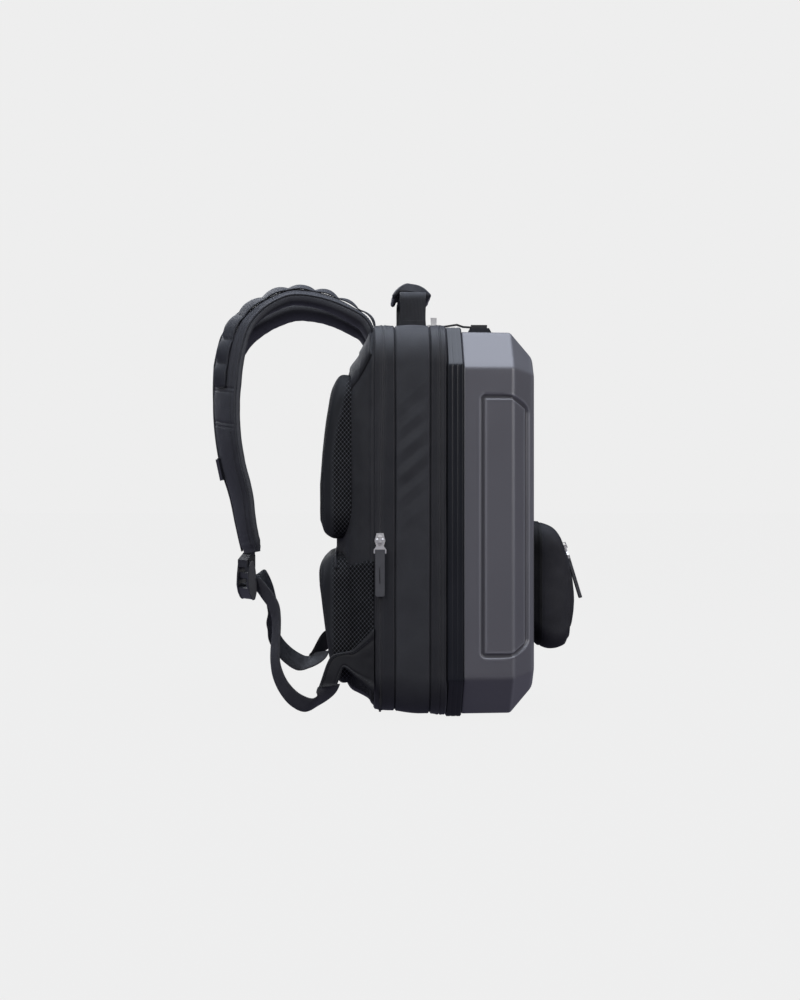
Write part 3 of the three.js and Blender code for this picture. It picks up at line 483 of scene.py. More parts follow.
SHELL_DARK = (0.087, 0.085, 0.093)
SHELL_LIGHT = (0.101, 0.099, 0.108)
MATERIALS = {
    "shell": shell_material(),
    "frame": frame_material(),
    "cloth": cloth_material("body cloth", (0.0190, 0.0195, 0.0222), (0.0270, 0.0278, 0.0310)),
    "panel": cloth_material("back cloth", (0.0150, 0.0155, 0.0172), (0.0205, 0.0210, 0.0228)),
    "yoke": cloth_material("yoke cloth", (0.0068, 0.0072, 0.0084), (0.0108, 0.0114, 0.0130), rough=0.55),
    "tape": cloth_material("zip tape", (0.0123, 0.0126, 0.0146), (0.0175, 0.0179, 0.0202), rough=0.5),
    "pouch": pouch_material(),
    "strap": cloth_material("strap cloth", (0.0240, 0.0245, 0.0286), (0.0354, 0.0366, 0.0412), rough=0.55),
    "tab": cloth_material("corner cloth", (0.0055, 0.0057, 0.0070), (0.0095, 0.0100, 0.0118), rough=0.55),
    "mesh": air_mesh_material(),
    "webbing": webbing_material("dark webbing", (0.0255, 0.0263, 0.0292), (0.0435, 0.0442, 0.0480)),
    "daisy": webbing_material(
        "daisy chain webbing", (0.0062, 0.0068, 0.0090), (0.0135, 0.0146, 0.0190), sheen=0.06),
    "thread": rubber_material("bonded thread", (0.0090, 0.0095, 0.0120), (0.0180, 0.0190, 0.0220)),
    "coil": plastic_material("zip coil", (0.0040, 0.0042, 0.0050), (0.0090, 0.0090, 0.0105), 0.4),
    "buckle": plastic_material("black acetal", (0.0108, 0.0117, 0.0144), (0.0171, 0.0180, 0.0216)),
    "rubber": rubber_material("grey rubber", (0.0430, 0.0430, 0.0468), (0.0663, 0.0663, 0.0702)),
    "darkrubber": rubber_material("black rubber", (0.0080, 0.0080, 0.0100), (0.0150, 0.0150, 0.0170)),
    "metal": metal_material(),
    "webbing_plain": cloth_material(
        "piping cloth", (0.0110, 0.0118, 0.0145), (0.0190, 0.0200, 0.0240), rough=0.5, sheen=0.05),
    "handle": webbing_material("handle webbing", (0.0060, 0.0065, 0.0085), (0.0125, 0.0132, 0.0165)),
    "grip": cloth_material(
        "handle cloth", (0.0070, 0.0075, 0.0095), (0.0115, 0.0122, 0.0150), rough=0.5, sheen=0.1),
    "loop": cloth_material("loop webbing", (0.0080, 0.0085, 0.0105), (0.0140, 0.0145, 0.0175), weave=1.2),
}


# Hard shell: an eight-sided tray with softened edges and a groove round each side panel
def octagon(half, low, high, corner):
    return np.array([
        (half, high - corner), (half - corner, high), (corner - half, high), (-half, high - corner),
        (-half, low + corner), (corner - half, low), (half - corner, low), (half, low + corner),
    ])


def soft_octagon(corners, radius, splits, steps=4):
    """The octagon with its corners rounded; splits gives the shares at which each edge is divided."""
    count = len(corners)
    points = []
    for k in range(count):
        here, before, after = corners[k], corners[k - 1], corners[(k + 1) % count]
        back = before - here
        ahead = after - here
        room = 0.45 * min(np.linalg.norm(back), np.linalg.norm(ahead))
        r = min(radius, room)
        start, end = here + unit(back) * r, here + unit(ahead) * r
        for t in np.linspace(0, 1, steps + 1):
            points.append((1 - t) ** 2 * start + 2 * t * (1 - t) * here + t * t * end)
        nxt, beyond = corners[(k + 1) % count], corners[(k + 2) % count]
        r2 = min(radius, 0.45 * min(np.linalg.norm(nxt - here), np.linalg.norm(beyond - nxt)))
        finish = nxt + unit(here - nxt) * r2
        for share in splits[k % 8]:
            points.append(mix(end, finish, share))
    return np.array(points)


def side_splits():
    z = np.concatenate([
        np.linspace(52, 64, 4), np.arange(66, 90, 0.9), np.linspace(93, 340, 30), np.arange(343, 369, 0.9),
        np.linspace(371, 391, 6),
    ])
    return (z - 47) / 348


def shell_stations():
    """Rows from rim to middle of the front, as (y, share from rim shape to front shape, inset)."""
    side_end = np.array([RIDGE + 3.0, 0.019, 0])
    ridge = np.array([RIDGE, 0.02, 0])
    bevel = np.array([SHELL_FRONT, 1.0, 0]) - ridge
    bevel_start, bevel_end = ridge + 0.07 * bevel, ridge + 0.84 * bevel
    front = np.array([SHELL_FRONT, 1.0, 0])
    face_start = np.array([SHELL_FRONT, 1.0, 6.0])
    rows = [(FRAME_FRONT - 0.4, 0, 2.2), (FRAME_FRONT - 0.4, 0, 0.7), (FRAME_FRONT - 0.9, 0, 0.15)]
    levels = np.concatenate([
        [-11.5], np.linspace(-14, -25, 5), np.arange(-26.2, -36, -0.7), np.linspace(-38, -60, 7)])
    rows += [(y, 0.019 * (FRAME_FRONT - y) / 53, 0) for y in levels]

    def curve(a, b, c, count):
        return [tuple((1 - t) ** 2 * a + 2 * t * (1 - t) * b + t * t * c) for t in np.linspace(0, 1, count)]

    rows += curve(side_end, ridge, bevel_start, 9)
    rows += [tuple(mix(bevel_start, bevel_end, t)) for t in np.linspace(0.04, 0.97, 34)]
    rows += curve(bevel_end, front, face_start, 11)
    rows += [(SHELL_FRONT, 1.0, inset) for inset in (12, 24, 40, 60, 80, 100, 112, 119.9)]
    return rows


def groove_inside(y, z):
    """How far a place on the side lies inside the outline of the raised panel's groove."""
    corners = np.array([(-27.7, 70), (-27.7, 365.5), (-65, 365.5), (-85, 352.5), (-85, 83), (-65, 70)], float)
    centre = corners.mean(axis=0)
    radius = 6.5
    spans = []
    for a, b in zip(corners, np.roll(corners, -1, axis=0)):
        normal = np.array([-(b - a)[1], (b - a)[0]]) / np.linalg.norm(b - a)
        if np.dot(centre - a, normal) < 0:
            normal = -normal
        spans.append((y - a[0]) * normal[0] + (z - a[1]) * normal[1])
    spans = np.array(spans)
    least = spans.min(axis=0)
    short = np.sqrt(np.sum(np.maximum(radius - spans, 0) ** 2, axis=0))
    return np.where(least >= radius, least, radius - short)


def groove_depth(inside):
    channel = smooth(0.0, 1.3, inside) * (1 - smooth(4.4, 5.7, inside))
    lips = 0.22 * (bump(inside, -0.9, 0.9) + bump(inside, 6.7, 0.9))
    return 2.7 * channel - lips


def build_shell():
    side = side_splits()
    ends = np.linspace(0.08, 0.92, 12)
    cham = np.linspace(0.12, 0.88, 6)
    splits = [cham, ends, cham, (1 - side)[::-1], cham, ends, cham, side]
    rows, sides = [], []
    for y, share, inset in shell_stations():
        corners = octagon(
            mix(HALF, HALF - 35, share) - inset,
            mix(3, 33, share) + inset,
            mix(BODY_HEIGHT - 5, BODY_HEIGHT - 35, share) - inset,
            max(mix(44, 20, share) - 0.586 * inset, 0.5),
        )
        ring = soft_octagon(corners, 3.2, splits)
        rows.append(at_depth(ring, y))
    grid = np.array(rows)
    normals = outward(grid_normals(grid), grid, np.array([0, -20.0, 220]))
    level = np.abs(normals[:, :, 0]) > 0.35
    inside = groove_inside(grid[:, :, 1], grid[:, :, 2])
    level = level & (np.arange(len(grid)) < len(grid) - 9)[:, None]
    y = grid[:, :, 1]
    # Painted highlight mask: the groove's lips on the side panels, the ridge line and the front edge.
    painted_highlight = 0.9 * (bump(inside, -0.4, 0.9) + bump(inside, 6.2, 0.9)) * level
    painted_highlight += 0.55 * bump(y, RIDGE - 0.6, 1.3) + 0.5 * bump(y, SHELL_FRONT + 2.5, 2.6)
    # Painted shade mask: the middle of the groove's channel on the side panels.
    shade = smooth(0.8, 1.8, inside) * (1 - smooth(3.6, 5.0, inside)) * level
    grid = grid - normals * (groove_depth(inside) * level)[:, :, None]
    piece = grid_piece("shell_skin", grid, "shell", marks={"painted_highlight": painted_highlight, "shade": shade})
    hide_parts("shell")


RIB_PITCH, RIB_DEPTH = 6.0, 0.32


def build_frame():
    ends = np.linspace(0.05, 0.95, 8)
    cham = np.linspace(0.1, 0.9, 5)
    long = np.linspace(0.03, 0.97, 16)
    splits = [cham, ends, cham, long, cham, ends, cham, long]
    rows = []
    levels = np.concatenate([[FRAME_FRONT], np.linspace(FRAME_FRONT, FRAME_BACK, 61), [FRAME_BACK]])
    for k, y in enumerate(levels):
        phase = ((y - FRAME_FRONT) % RIB_PITCH) / RIB_PITCH
        rib = smooth(0.0, 0.24, phase) * (1 - smooth(0.76, 1.0, phase))
        edge = min(y - FRAME_FRONT, FRAME_BACK - y)
        inset = RIB_DEPTH * (1 - rib) + 1.2 * (1 - smooth(0.0, 1.4, edge))
        if k in (0, len(levels) - 1):
            inset = 5.0
        corners = octagon(HALF + 1.5 - inset, inset, BODY_HEIGHT - inset, 45.5 - 0.586 * inset)
        ring = soft_octagon(corners, 2.6, splits)
        rows.append(at_depth(ring, y))
    piece = grid_piece("frame_ribs", np.array(rows), "frame")
    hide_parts("shell_frame")


# Soft body: bands of cloth round the bag, each a little puffed and turned in at its seams
def soft_section(y, inset, counts):
    share = (y - FRAME_BACK) / (BACK_SEAM - FRAME_BACK)
    return round_section(
        SOFT_HALF - 4 * share - inset, mix(2.5, 9, share) + inset, SOFT_TOP - inset, 45 - inset, counts)


def round_section(half, low, high, corner, counts):
    """A rounded box outline: points (n, 2), outward normals (n, 2) in x and z."""
    arcs, wide, tall = counts
    points, normals = [], []
    for quarter in range(4):
        side_x = 1 if quarter in (0, 3) else -1
        middle_z = high - corner if quarter < 2 else low + corner
        for i in range(arcs + 1):
            angle = (quarter + i / arcs) * math.pi / 2
            normal = np.array([math.cos(angle), math.sin(angle)])
            points.append(np.array([side_x * (half - corner), middle_z]) + corner * normal)
            normals.append(normal)
        steps = wide if quarter in (0, 2) else tall
        start = points[-1]
        following = (quarter + 1) % 4
        next_x = 1 if following in (0, 3) else -1
        next_z = high - corner if following < 2 else low + corner
        turned = (quarter + 1) * math.pi / 2
        end = np.array([next_x * (half - corner), next_z])
        end = end + corner * np.array([math.cos(turned), math.sin(turned)])
        for i in range(1, steps):
            points.append(mix(start, end, i / steps))
            normals.append(normals[-1])
    return np.array(points), np.array(normals)


def seam_wave(points, seed):
    """How far a seam strays from its straight line, in y."""
    return 0.55 * noise3(np.column_stack([points[:, 0], points[:, 1] * 0, points[:, 1]]), 46.0, seed)


SEAM_TURN = 4.0  # how far cloth is turned in at a seam


def band_grid(start, end, profile, seeds, detail, counts):
    """Rows of a band from seam to seam. profile gives the puff at a share across; detail adds folds."""
    grid = []
    shares = 0.5 - 0.5 * np.cos(np.linspace(0, np.pi, 44))
    for share in np.concatenate([[0.0], shares, [1.0]]):
        y = mix(start, end, share)
        points, normals = soft_section(y, 0.0, counts)
        stray = mix(seam_wave(points, seeds[0]), seam_wave(points, seeds[1]), share)
        place = at_depth(points, y)
        place[:, 1] += stray
        lift = profile(share) + detail(place, share)
        place[:, 0] += normals[:, 0] * lift
        place[:, 2] += normals[:, 1] * lift
        grid.append(place)
    grid = np.array(grid)
    for row, y in ((0, start), (-1, end)):
        turned_in = soft_section(y, SEAM_TURN, counts)[0]
        grid[row, :, 0], grid[row, :, 2] = turned_in[:, 0], turned_in[:, 1]
    return grid


def seam_profile(width, puff, lip=1.5, valley=1.5):
    """Turned in by valley at each seam, up over a small lip and puffed in the middle."""
    def profile(share):
        edge = min(share, 1 - share) * width
        rise = -valley * (1 - float(smooth(0.0, lip, edge)))
        return rise + puff * math.sin(math.pi * share) + 0.25 * float(bump(edge, lip + 0.8, 0.9))
    return profile


def zip_lines(place, centre, depth=0.9):
    """The zip's two tapes, raised a little at each side of a closed line."""
    away = np.abs(place[:, 1] - centre)
    return 0.45 * bump(away, 2.1, 1.0) - depth * bump(away, 0.0, 0.55)


FRONT_ZIP = 16.9
TOOTH_STEP, TOOTH_LIFT = 1.55, 0.1


def back_zip_line(z):
    return 80.0 + 3.6 * smooth(420.0, 205.0, z)


# Height, rise and width of each slanting fold across the gusset
FOLDS = [
    (366, 1.5, 3.6), (352, -1.3, 3.0), (338, 1.9, 3.8), (325, -1.4, 3.0), (312, 2.2, 4.2), (298, -1.6, 3.4),
    (285, 2.0, 4.0), (272, -1.3, 3.0), (260, 1.6, 3.8), (246, -1.0, 3.0), (228, 1.2, 4.4),
]


def build_bands():
    def front_detail(place, share):
        return zip_lines(place, FRONT_ZIP) + 0.12 * noise3(place, 14.0, 3)

    def gusset_detail(place, share):
        flat = np.column_stack([place[:, 0] * 0.3, place[:, 1], place[:, 2]])
        tilted = flat.copy()
        tilted[:, 1] = (flat[:, 1] * 0.86 + flat[:, 2] * 0.5) * 0.9
        tilted[:, 2] = (flat[:, 2] * 0.86 - flat[:, 1] * 0.5) * 0.62
        inside = math.sin(math.pi * share) ** 0.7
        zone = 0.35 + 0.65 * bump(place[:, 2], 285.0, 62.0)
        folds = 1.4 * noise3(tilted * np.array([1, 0.45, 1.6]), 19.0, 5) + 0.6 * noise3(tilted, 9.0, 8)
        slope = place[:, 2] + 0.85 * (place[:, 1] - 47.5)
        level_side = np.abs(place[:, 0]) > 120
        for height, rise, width in FOLDS:
            folds = folds + 0.6 * rise * bump(slope, height, 1.2 * width) * level_side
        return folds * zone * inside * 0.8 + 0.25 * noise3(place, 30.0, 9) * inside

    def back_detail(place, share):
        return zip_lines(place, back_zip_line(place[:, 2]), 0.7) + 0.15 * noise3(place, 16.0, 4)

    bands = [
        ("zip_band_front", FRAME_BACK, GUSSET_FRONT, 0.7, (11, 12), front_detail, "tape"),
        ("gusset", GUSSET_FRONT, GUSSET_BACK, 1.5, (12, 13), gusset_detail, "cloth"),
        ("zip_band_back", GUSSET_BACK, BACK_SEAM, 0.9, (13, 14), back_detail, "tape"),
    ]
    for node, start, end, puff, seeds, detail, slot in bands:
        profile = seam_profile(end - start, puff)
        grid = band_grid(start + 0.05, end - 0.05, profile, seeds, detail, (16, 40, 190))
        piece = grid_piece(f"{node}_skin", grid, slot)
        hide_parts(node)
    ring_teeth("front_zip_teeth", lambda z: FRONT_ZIP + 0 * z)
    ring_teeth("back_zip_teeth", back_zip_line)


def ring_teeth(name, line):
    """Closed zip teeth round the bag: one small crown after another along the zip's line."""
    points, normals = soft_section(50.0, 0.0, (24, 60, 240))
    z = points[:, 1]
    y = line(z)
    share = (y - FRAME_BACK) / (BACK_SEAM - FRAME_BACK)
    path, out = [], []
    for (x, level), normal, at, s in zip(points, normals, y, share):
        shift = -4 * (s - 0.5)
        path.append((x + normal[0] * (shift + TOOTH_LIFT), at, level + normal[1] * TOOTH_LIFT))
        out.append((normal[0], 0, normal[1]))
    path = np.array(path + path[:1])
    out = np.array(out + out[:1])
    even = even_steps(path, TOOTH_STEP)
    way = read_table(np.linspace(0, len(path) - 1, len(even)), np.arange(len(path)), out)
    verts, faces = [], []
    for k in range(len(even) - 1):
        a, b = even[k], even[k + 1]
        along = unit(b - a)
        up = unit(way[k] - along * np.dot(way[k], along))
        over = np.cross(along, up)
        first = len(verts)
        lean = 0.35 if k % 2 else -0.35
        for h, w, l in ((-0.5, 0.95, 0.5), (0.12, 0.8, 0.42), (0.3, 0.4, 0.25)):
            for sw, sl in ((-1, -1), (1, -1), (1, 1), (-1, 1)):
                verts.append((a + b) / 2 + over * (w * sw + lean) + along * l * sl + up * h)
        faces += grid_faces(3, 4, first)
        faces.append([first + 8, first + 9, first + 10, first + 11])
    make_piece(name, verts, faces, "coil")


# Back panel: depth, then how far its foot, top and sides draw in, and its corner
PANEL_COUNTS = (16, 26, 120)
PANEL_ROWS = [
    (0.0, 0.0, 0.0, 0.0, 1.0), (0.03, 0.01, 0.016, 0.01, 1.0), (0.14, 0.024, 0.035, 0.035, 1.0),
    (0.38, 0.036, 0.075, 0.09, 1.0), (0.65, 0.05, 0.116, 0.17, 1.0), (0.83, 0.085, 0.21, 0.3, 0.9),
    (1.0, 0.13, 0.41, 0.42, 0.8),
]


def panel_grid():
    grid = []
    for back, low, high, side, corner in spline_rows(PANEL_ROWS, 52):
        points, _ = round_section(
            SOFT_HALF - 4 - side * HALF, 9.0 + low * BODY_HEIGHT, SOFT_TOP - high * BODY_HEIGHT,
            corner * 45.0, PANEL_COUNTS)
        grid.append(at_depth(points, BACK_SEAM + back * PANEL_DEPTH))
    return np.array(grid)


def build_back_panel():
    grid = panel_grid()
    normals = outward(grid_normals(grid), grid, np.array([0, 60.0, 240]))
    flat = grid.reshape(-1, 3)
    folds = 0.9 * noise3(flat * np.array([1, 1, 0.45]), 26.0, 21) + 0.45 * noise3(flat, 12.0, 22)
    depth = np.linspace(0, 1, grid.shape[0])[:, None]
    folds = folds.reshape(grid.shape[:2]) * np.sin(np.pi * depth) ** 0.6
    seam = -1.5 * (1 - smooth(0.0, 1.5, grid[:, :, 1] - BACK_SEAM))
    welt = 0.7 * bump(grid[:, :, 1], BACK_SEAM + 2.6, 1.1)
    grid = grid + normals * (folds + seam + welt)[:, :, None]
    inner = grid[-1]
    middle = np.array([0, BACK_SEAM + PANEL_DEPTH, inner[:, 2].mean()])
    extra = [mix(inner, middle, t) for t in (0.3, 0.6, 0.9, 0.999)]
    turned = at_depth(soft_section(BACK_SEAM, SEAM_TURN, PANEL_COUNTS)[0], BACK_SEAM + 0.1)
    piece = grid_piece("back_panel_skin", np.concatenate([[turned], grid, extra]), "panel")
    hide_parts("back_panel")
    build_side_mesh(grid, normals)
    build_yoke(grid, normals)


def laid_on(name, patch, out, lift, slot):
    """A closed piece of cloth over a patch of the back panel, lift mm proud of it."""
    outer = patch + out * lift[:, :, None]
    inner = patch - out * 0.6
    grid_piece(name, np.concatenate([outer, inner[:, ::-1]], axis=1), slot, capped=True)


def build_yoke(grid, normals):
    """Two layers of dark cloth on the upper back, where the straps are sewn in."""
    crown = grid[:, :, 2].max(axis=1)
    columns = np.where(grid[8, :, 2] > 408)[0]
    for layer, (drop, height) in enumerate(((50.0, 1.3), (33.0, 2.5))):
        rows = np.where((crown < SOFT_TOP - 7.0) & (crown > SOFT_TOP - drop))[0]
        patch = grid[rows][:, columns]
        out = normals[rows][:, columns]
        along, over = np.arange(len(rows))[:, None], np.arange(len(columns))[None]
        edge = np.minimum(along[::-1], np.minimum(over, over[:, ::-1]))
        lift = height * smooth(-0.6, 0.6, edge)
        laid_on(f"yoke_layer_{layer}", patch, out, lift, "yoke")


def build_side_mesh(grid, normals):
    """Air mesh let into the back panel's sides, from the lower pad's top down to the bag's foot."""
    level = grid[8, :, 2]
    for side, label in ((-1, "left"), (1, "right")):
        columns = np.where((np.sign(grid[8, :, 0]) == side) & (level > 17) & (level < 179))[0]
        patch = grid[5:44][:, columns]
        out = normals[5:44][:, columns]
        along, over = np.arange(len(patch))[:, None], np.arange(len(columns))[None]
        edge = np.minimum(np.minimum(along, along[::-1]), np.minimum(over, over[:, ::-1]))
        lift = 1.1 * smooth(-0.4, 1.0, edge) + 0.5 * bump(edge, 1.0, 0.7)
        laid_on(f"side_mesh_{label}", patch, out, lift, "mesh")


# Back pads: how far out, then how far the foot, top and sides draw in
PAD_COUNTS = (12, 26, 60)
UPPER_PAD = [
    (-0.9, 0.012, 0.0, 0.0), (-0.25, 0.0, 0.0, 0.0), (0.15, 0.0, 0.05, 0.01), (0.45, 0.012, 0.14, 0.05),
    (0.75, 0.04, 0.36, 0.12), (1.0, 0.11, 0.66, 0.24),
]
LOWER_PAD = [
    (-0.9, 0.0, 0.0, 0.0), (-0.2, 0.0, 0.0, 0.0), (0.3, 0.13, 0.01, 0.03), (0.6, 0.33, 0.04, 0.08),
    (0.85, 0.56, 0.08, 0.15), (1.0, 0.72, 0.13, 0.25),
]


def pad_grid(table, low, height, thickness):
    root = BACK_SEAM + PANEL_DEPTH
    half = SOFT_HALF - 27
    grid = []
    for out, bottom, top, side in spline_rows(table, 40):
        corner = min(30.0, 0.45 * height * (1 - bottom - top))
        points, _ = round_section(
            half * (1 - side), low + bottom * height, low + height * (1 - top), corner, PAD_COUNTS)
        grid.append(at_depth(points, root + out * thickness))
    grid = np.array(grid)
    last = grid[-1]
    middle = np.array([0, root + thickness, (last[:, 2].max() + last[:, 2].min()) / 2])
    caps = []
    for t in (0.06, 0.16, 0.35, 0.6, 0.85, 0.999):
        ring = mix(last, middle, t)
        ring[:, 1] += 0.8 * math.sin(min(t * 2.2, 1.57))
        caps.append(ring)
    return np.concatenate([grid, caps])


def build_pads():
    for name, table, low, height, thick, node in (
        ("upper_pad_skin", UPPER_PAD, 203, 187, 19, "upper_pad"),
        ("lower_pad_skin", LOWER_PAD, 39, 148, 20, "lower_pad"),
    ):
        grid = pad_grid(table, low, height, thick)
        normals = outward(grid_normals(grid), grid, np.array([0, 110.0, low + height / 2]))
        grid = grid + normals * rumple(grid, 0.8, 38.0, 0.25, 13.0, 31)[:, :, None]
        piece = grid_piece(name, grid, "mesh")
        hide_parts(node)
        if node == "lower_pad":
            ring = grid[11]
            hem = np.roll(ring, -int(np.argmin(ring[:, 2])), axis=0)
            hem = hem[hem[:, 2] > low + 0.86 * height] + np.array([0, 0, 0.6])
            tube("sleeve_hem", hem, 1.7, "tab", 10)


# Shoulder straps
STRAP_ROWS = [
    (0.587, -0.04, 0.95, 0, 1, 0), (0.587, 0.006, 1.007, 0, 1, 0), (0.587, 0.045, 1.031, 2, 1, 0),
    (0.587, 0.14, 1.055, 4, 1, 0), (0.587, 0.298, 1.08, 9, 1, 0), (0.587, 0.464, 1.092, 10, 1, 0),
    (0.587, 0.556, 1.089, 12, 1, 0.05), (0.6, 0.661, 1.07, 14, 0.99, 0.18),
    (0.619, 0.736, 1.046, 18, 0.98, 0.32), (0.645, 0.803, 1.011, 26, 0.97, 0.52),
    (0.677, 0.84, 0.968, 31, 0.97, 0.78), (0.716, 0.871, 0.901, 32, 0.97, 1),
    (0.755, 0.89, 0.811, 29, 0.95, 1), (0.774, 0.885, 0.732, 28, 0.935, 1),
    (0.781, 0.857, 0.653, 28, 0.9, 1), (0.781, 0.812, 0.579, 27, 0.855, 0.95),
    (0.768, 0.781, 0.484, 25, 0.775, 0.75), (0.748, 0.752, 0.423, 24, 0.77, 0.6),
]


def place(side, across, out, up):
    return np.array([side * across * HALF, BACK_SEAM + out * STRAP_REACH, up * BODY_HEIGHT])


class Strap:
    """The strap's edge line with the turn of its face, read at shares of its length."""

    def __init__(self, side):
        self.side = side
        swing = RIGHT_SWING if side > 0 else 0
        points = [place(side, r[0], r[1], r[2]) + np.array([0, r[5] * swing, 0]) for r in STRAP_ROWS]
        self.line, self.level = centripetal(points, 2400)
        self.length = running_length(self.line)
        tangent = np.gradient(self.line, axis=0)
        tangent[:, 0] = 0
        self.tangent = unit(tangent)

    def at(self, shares):
        """Point on the inner edge, directions across, out of the face and along, width, and length so far."""
        way = shares * self.length[-1]
        level = np.interp(way, self.length, self.level)
        rows = np.arange(len(STRAP_ROWS))
        turn = np.interp(level, rows, [r[3] for r in STRAP_ROWS]) * (RIGHT_TURN if self.side > 0 else 1)
        turn = np.radians(turn)
        width = STRAP_WIDTH * np.interp(level, rows, [r[4] for r in STRAP_ROWS])
        tangent = unit(read_table(way, self.length, self.tangent))
        out = np.stack([np.zeros(len(way)), -tangent[:, 2], tangent[:, 1]], axis=1)
        inwards = np.tile(np.array([-self.side, 0.0, 0.0]), (len(way), 1))
        c, s = np.cos(turn)[:, None], np.sin(turn)[:, None]
        line = read_table(way, self.length, self.line)
        return line, inwards * c + out * s, out * c - inwards * s, tangent, width, way


def strap_surface(strap, shares, over, above):
    """Points at over mm across the face and above mm out of it, for arrays shaped (stations, k)."""
    point, across, face, _, _, _ = strap.at(shares)
    return point[:, None] + across[:, None] * over[:, :, None] + face[:, None] * above[:, :, None]


UNDER_ARCH = 5.0  # how far the underside is hollowed where the strap arches
STRAP_SEAM, STITCH_INSET, PIPING_INSET, PIPING_RADIUS = 6.5, 8.3, 1.3, 1.25
QUILT_HEIGHTS = (373.0, 332.5)


def build_strap_pad(side, label):
    strap = Strap(side)
    stations = 430
    shares = np.linspace(0.0, 1.0, stations)
    width, way = strap.at(shares)[4:]
    angle = np.linspace(0, 2 * np.pi, 56, endpoint=False)
    power = 2 / 3.4
    c, s = np.cos(angle), np.sin(angle)
    cx = np.sign(c) * np.abs(c) ** power
    sy = np.sign(s) * np.abs(s) ** power
    half = width[:, None] / 2
    taper = 1 - 0.35 * smooth(0.975, 1.0, shares)[:, None]
    over = half + half * cx[None] * (1 - 0.08 * smooth(0.97, 1.0, shares)[:, None])
    above = -STRAP_THICKNESS / 2 + STRAP_THICKNESS / 2 * sy[None] * taper
    outer = np.clip(sy, 0, 1)[None]
    from_edge = np.minimum(over, width[:, None] - over)
    seam = -0.9 * bump(from_edge, STRAP_SEAM, 0.9) * outer
    binding = 0.35 * bump(from_edge, 3.2, 2.0) * outer
    crown = 2.4 * np.sin(np.pi * np.clip(over / width[:, None], 0, 1)) * outer
    base = strap_surface(strap, shares, over, above)
    level = base[:, :, 2]
    quilt = np.zeros_like(over)
    lower = shares[:, None] > 0.5
    for height in QUILT_HEIGHTS:
        slant = level - height - (over / width[:, None]) * 7.0
        quilt -= 1.3 * bump(slant, 0.0, 1.4) * outer * lower
        quilt -= 0.8 * bump(slant, -4.6, 1.2) * outer * lower
    soft = rumple(base, 0.4, 22.0, 0.2, 9.0, 41)
    inner = np.clip(-sy, 0, 1)[None]
    curved = bump(shares[:, None], 0.30, 0.2)
    ripple = 0.12 * np.sin(way[:, None] / 13.0 * 2 * np.pi + 2 * soft) * inner * curved
    drop = 0.5 * np.sin(way[:, None] / 9.0 * 2 * np.pi + 3 * soft) * smooth(0.93, 1.0, shares)[:, None]
    lining = -UNDER_ARCH * smooth(0.02, 0.12, shares)[:, None] * (1 - smooth(0.33, 0.46, shares)[:, None])
    lining = lining * inner * (0.35 + 0.65 * np.sin(np.pi * np.clip(over / width[:, None], 0, 1)))
    above = above + seam + binding + crown + quilt + soft + ripple + drop * 0.6 + lining
    grid = strap_surface(strap, shares, over, above)
    uv = strip_uv(np.linspace(0, 130, 56), way)
    piece = grid_piece(f"strap_pad_{label}_skin", grid, "strap", capped=True, uv=uv)
    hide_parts(f"strap_pad_{label}")

    def edge_lines(inset, height):
        for over in (np.full((stations, 1), inset), width[:, None] - inset):
            yield strap_surface(strap, shares, over, np.full((stations, 1), height))[:, 0]

    for k, line in enumerate(edge_lines(PIPING_INSET, -1.6)):
        tube(f"strap_piping_{label}_{k}", line[6:-3], PIPING_RADIUS, "webbing_plain", 8)
    lines = [line[8:-4] for line in edge_lines(STITCH_INSET, 1.35)]
    dashes(f"strap_stitches_{label}", lines, "thread", 3.4, 2.3, 0.3)
    return strap


TIP = 1.5  # how far a loop of the daisy chain tips sideways
TACK_HEIGHT = 3.75


def build_daisy(strap, label):
    loops, per = 9, 14
    count = loops * per + 1
    shares = np.linspace(0.053, 0.588, count)
    width, way = strap.at(shares)[4:]
    phase = np.arange(count) / per
    rise = np.abs(np.sin(np.pi * phase)) ** 0.85
    low = 1.9 + 3.0 * rise
    skew = 0.8 * noise3(np.column_stack([phase * 10, phase, phase * 3]), 4.0, 51)
    half = WEBBING_WIDTH / 2
    over, above = [], []
    for o, a in (
            (-1, 0.15), (-0.97, 0), (0.97, 0), (1, 0.15), (1, 0.85), (0.97, 1), (0.5, 1.12), (0, 1.15),
            (-0.5, 1.12), (-0.97, 1), (-1, 0.85)):
        over.append(width / 2 + o * half + skew * 0.5)
        above.append(low + a * 1.5 + 0.3 * skew * o + TIP * o * rise * -strap.side)
    grid = strap_surface(strap, shares, np.array(over).T, np.array(above).T)
    uv = strip_uv(np.array([0, 0.4, 24.6, 25, 26, 26.5, 32, 38, 44, 51, 51.5]), way)
    piece = grid_piece(f"daisy_chain_{label}_skin", grid, "daisy", capped=True, uv=uv)
    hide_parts(f"daisy_chain_{label}")
    tacks = []
    for k in range(0, count, per):
        across = np.linspace(-half + 2, half - 2, 12)[None] + width[k] / 2
        for shift in (-0.0016, 0.0, 0.0016):
            at = np.array([shares[k] + shift])
            tacks.append(strap_surface(strap, at, across, np.full((1, 12), TACK_HEIGHT))[0])
    dashes(f"daisy_tacks_{label}", tacks, "thread", 2.4, 1.8, 0.34)


LOCK_OUT, LOCK_DROP, LOCK_TURN = 7.0, 32.0, 28.0
WEBBING_THICKNESS = 1.6


def lock_frame(strap):
    """Centre and axes of the ladder lock under the strap's end."""
    point, across, face, _, width, _ = strap.at(np.array([1.0]))
    end = point[0] + across[0] * width[0] / 2 - face[0] * STRAP_THICKNESS / 2
    centre = end + np.array([0, LOCK_OUT, -LOCK_DROP])
    turn = math.radians(-strap.side * LOCK_TURN * (RIGHT_TURN if strap.side > 0 else 1))
    c, s = math.cos(turn), math.sin(turn)
    return centre, np.array([c, s, 0]), np.array([-s, c, 0])


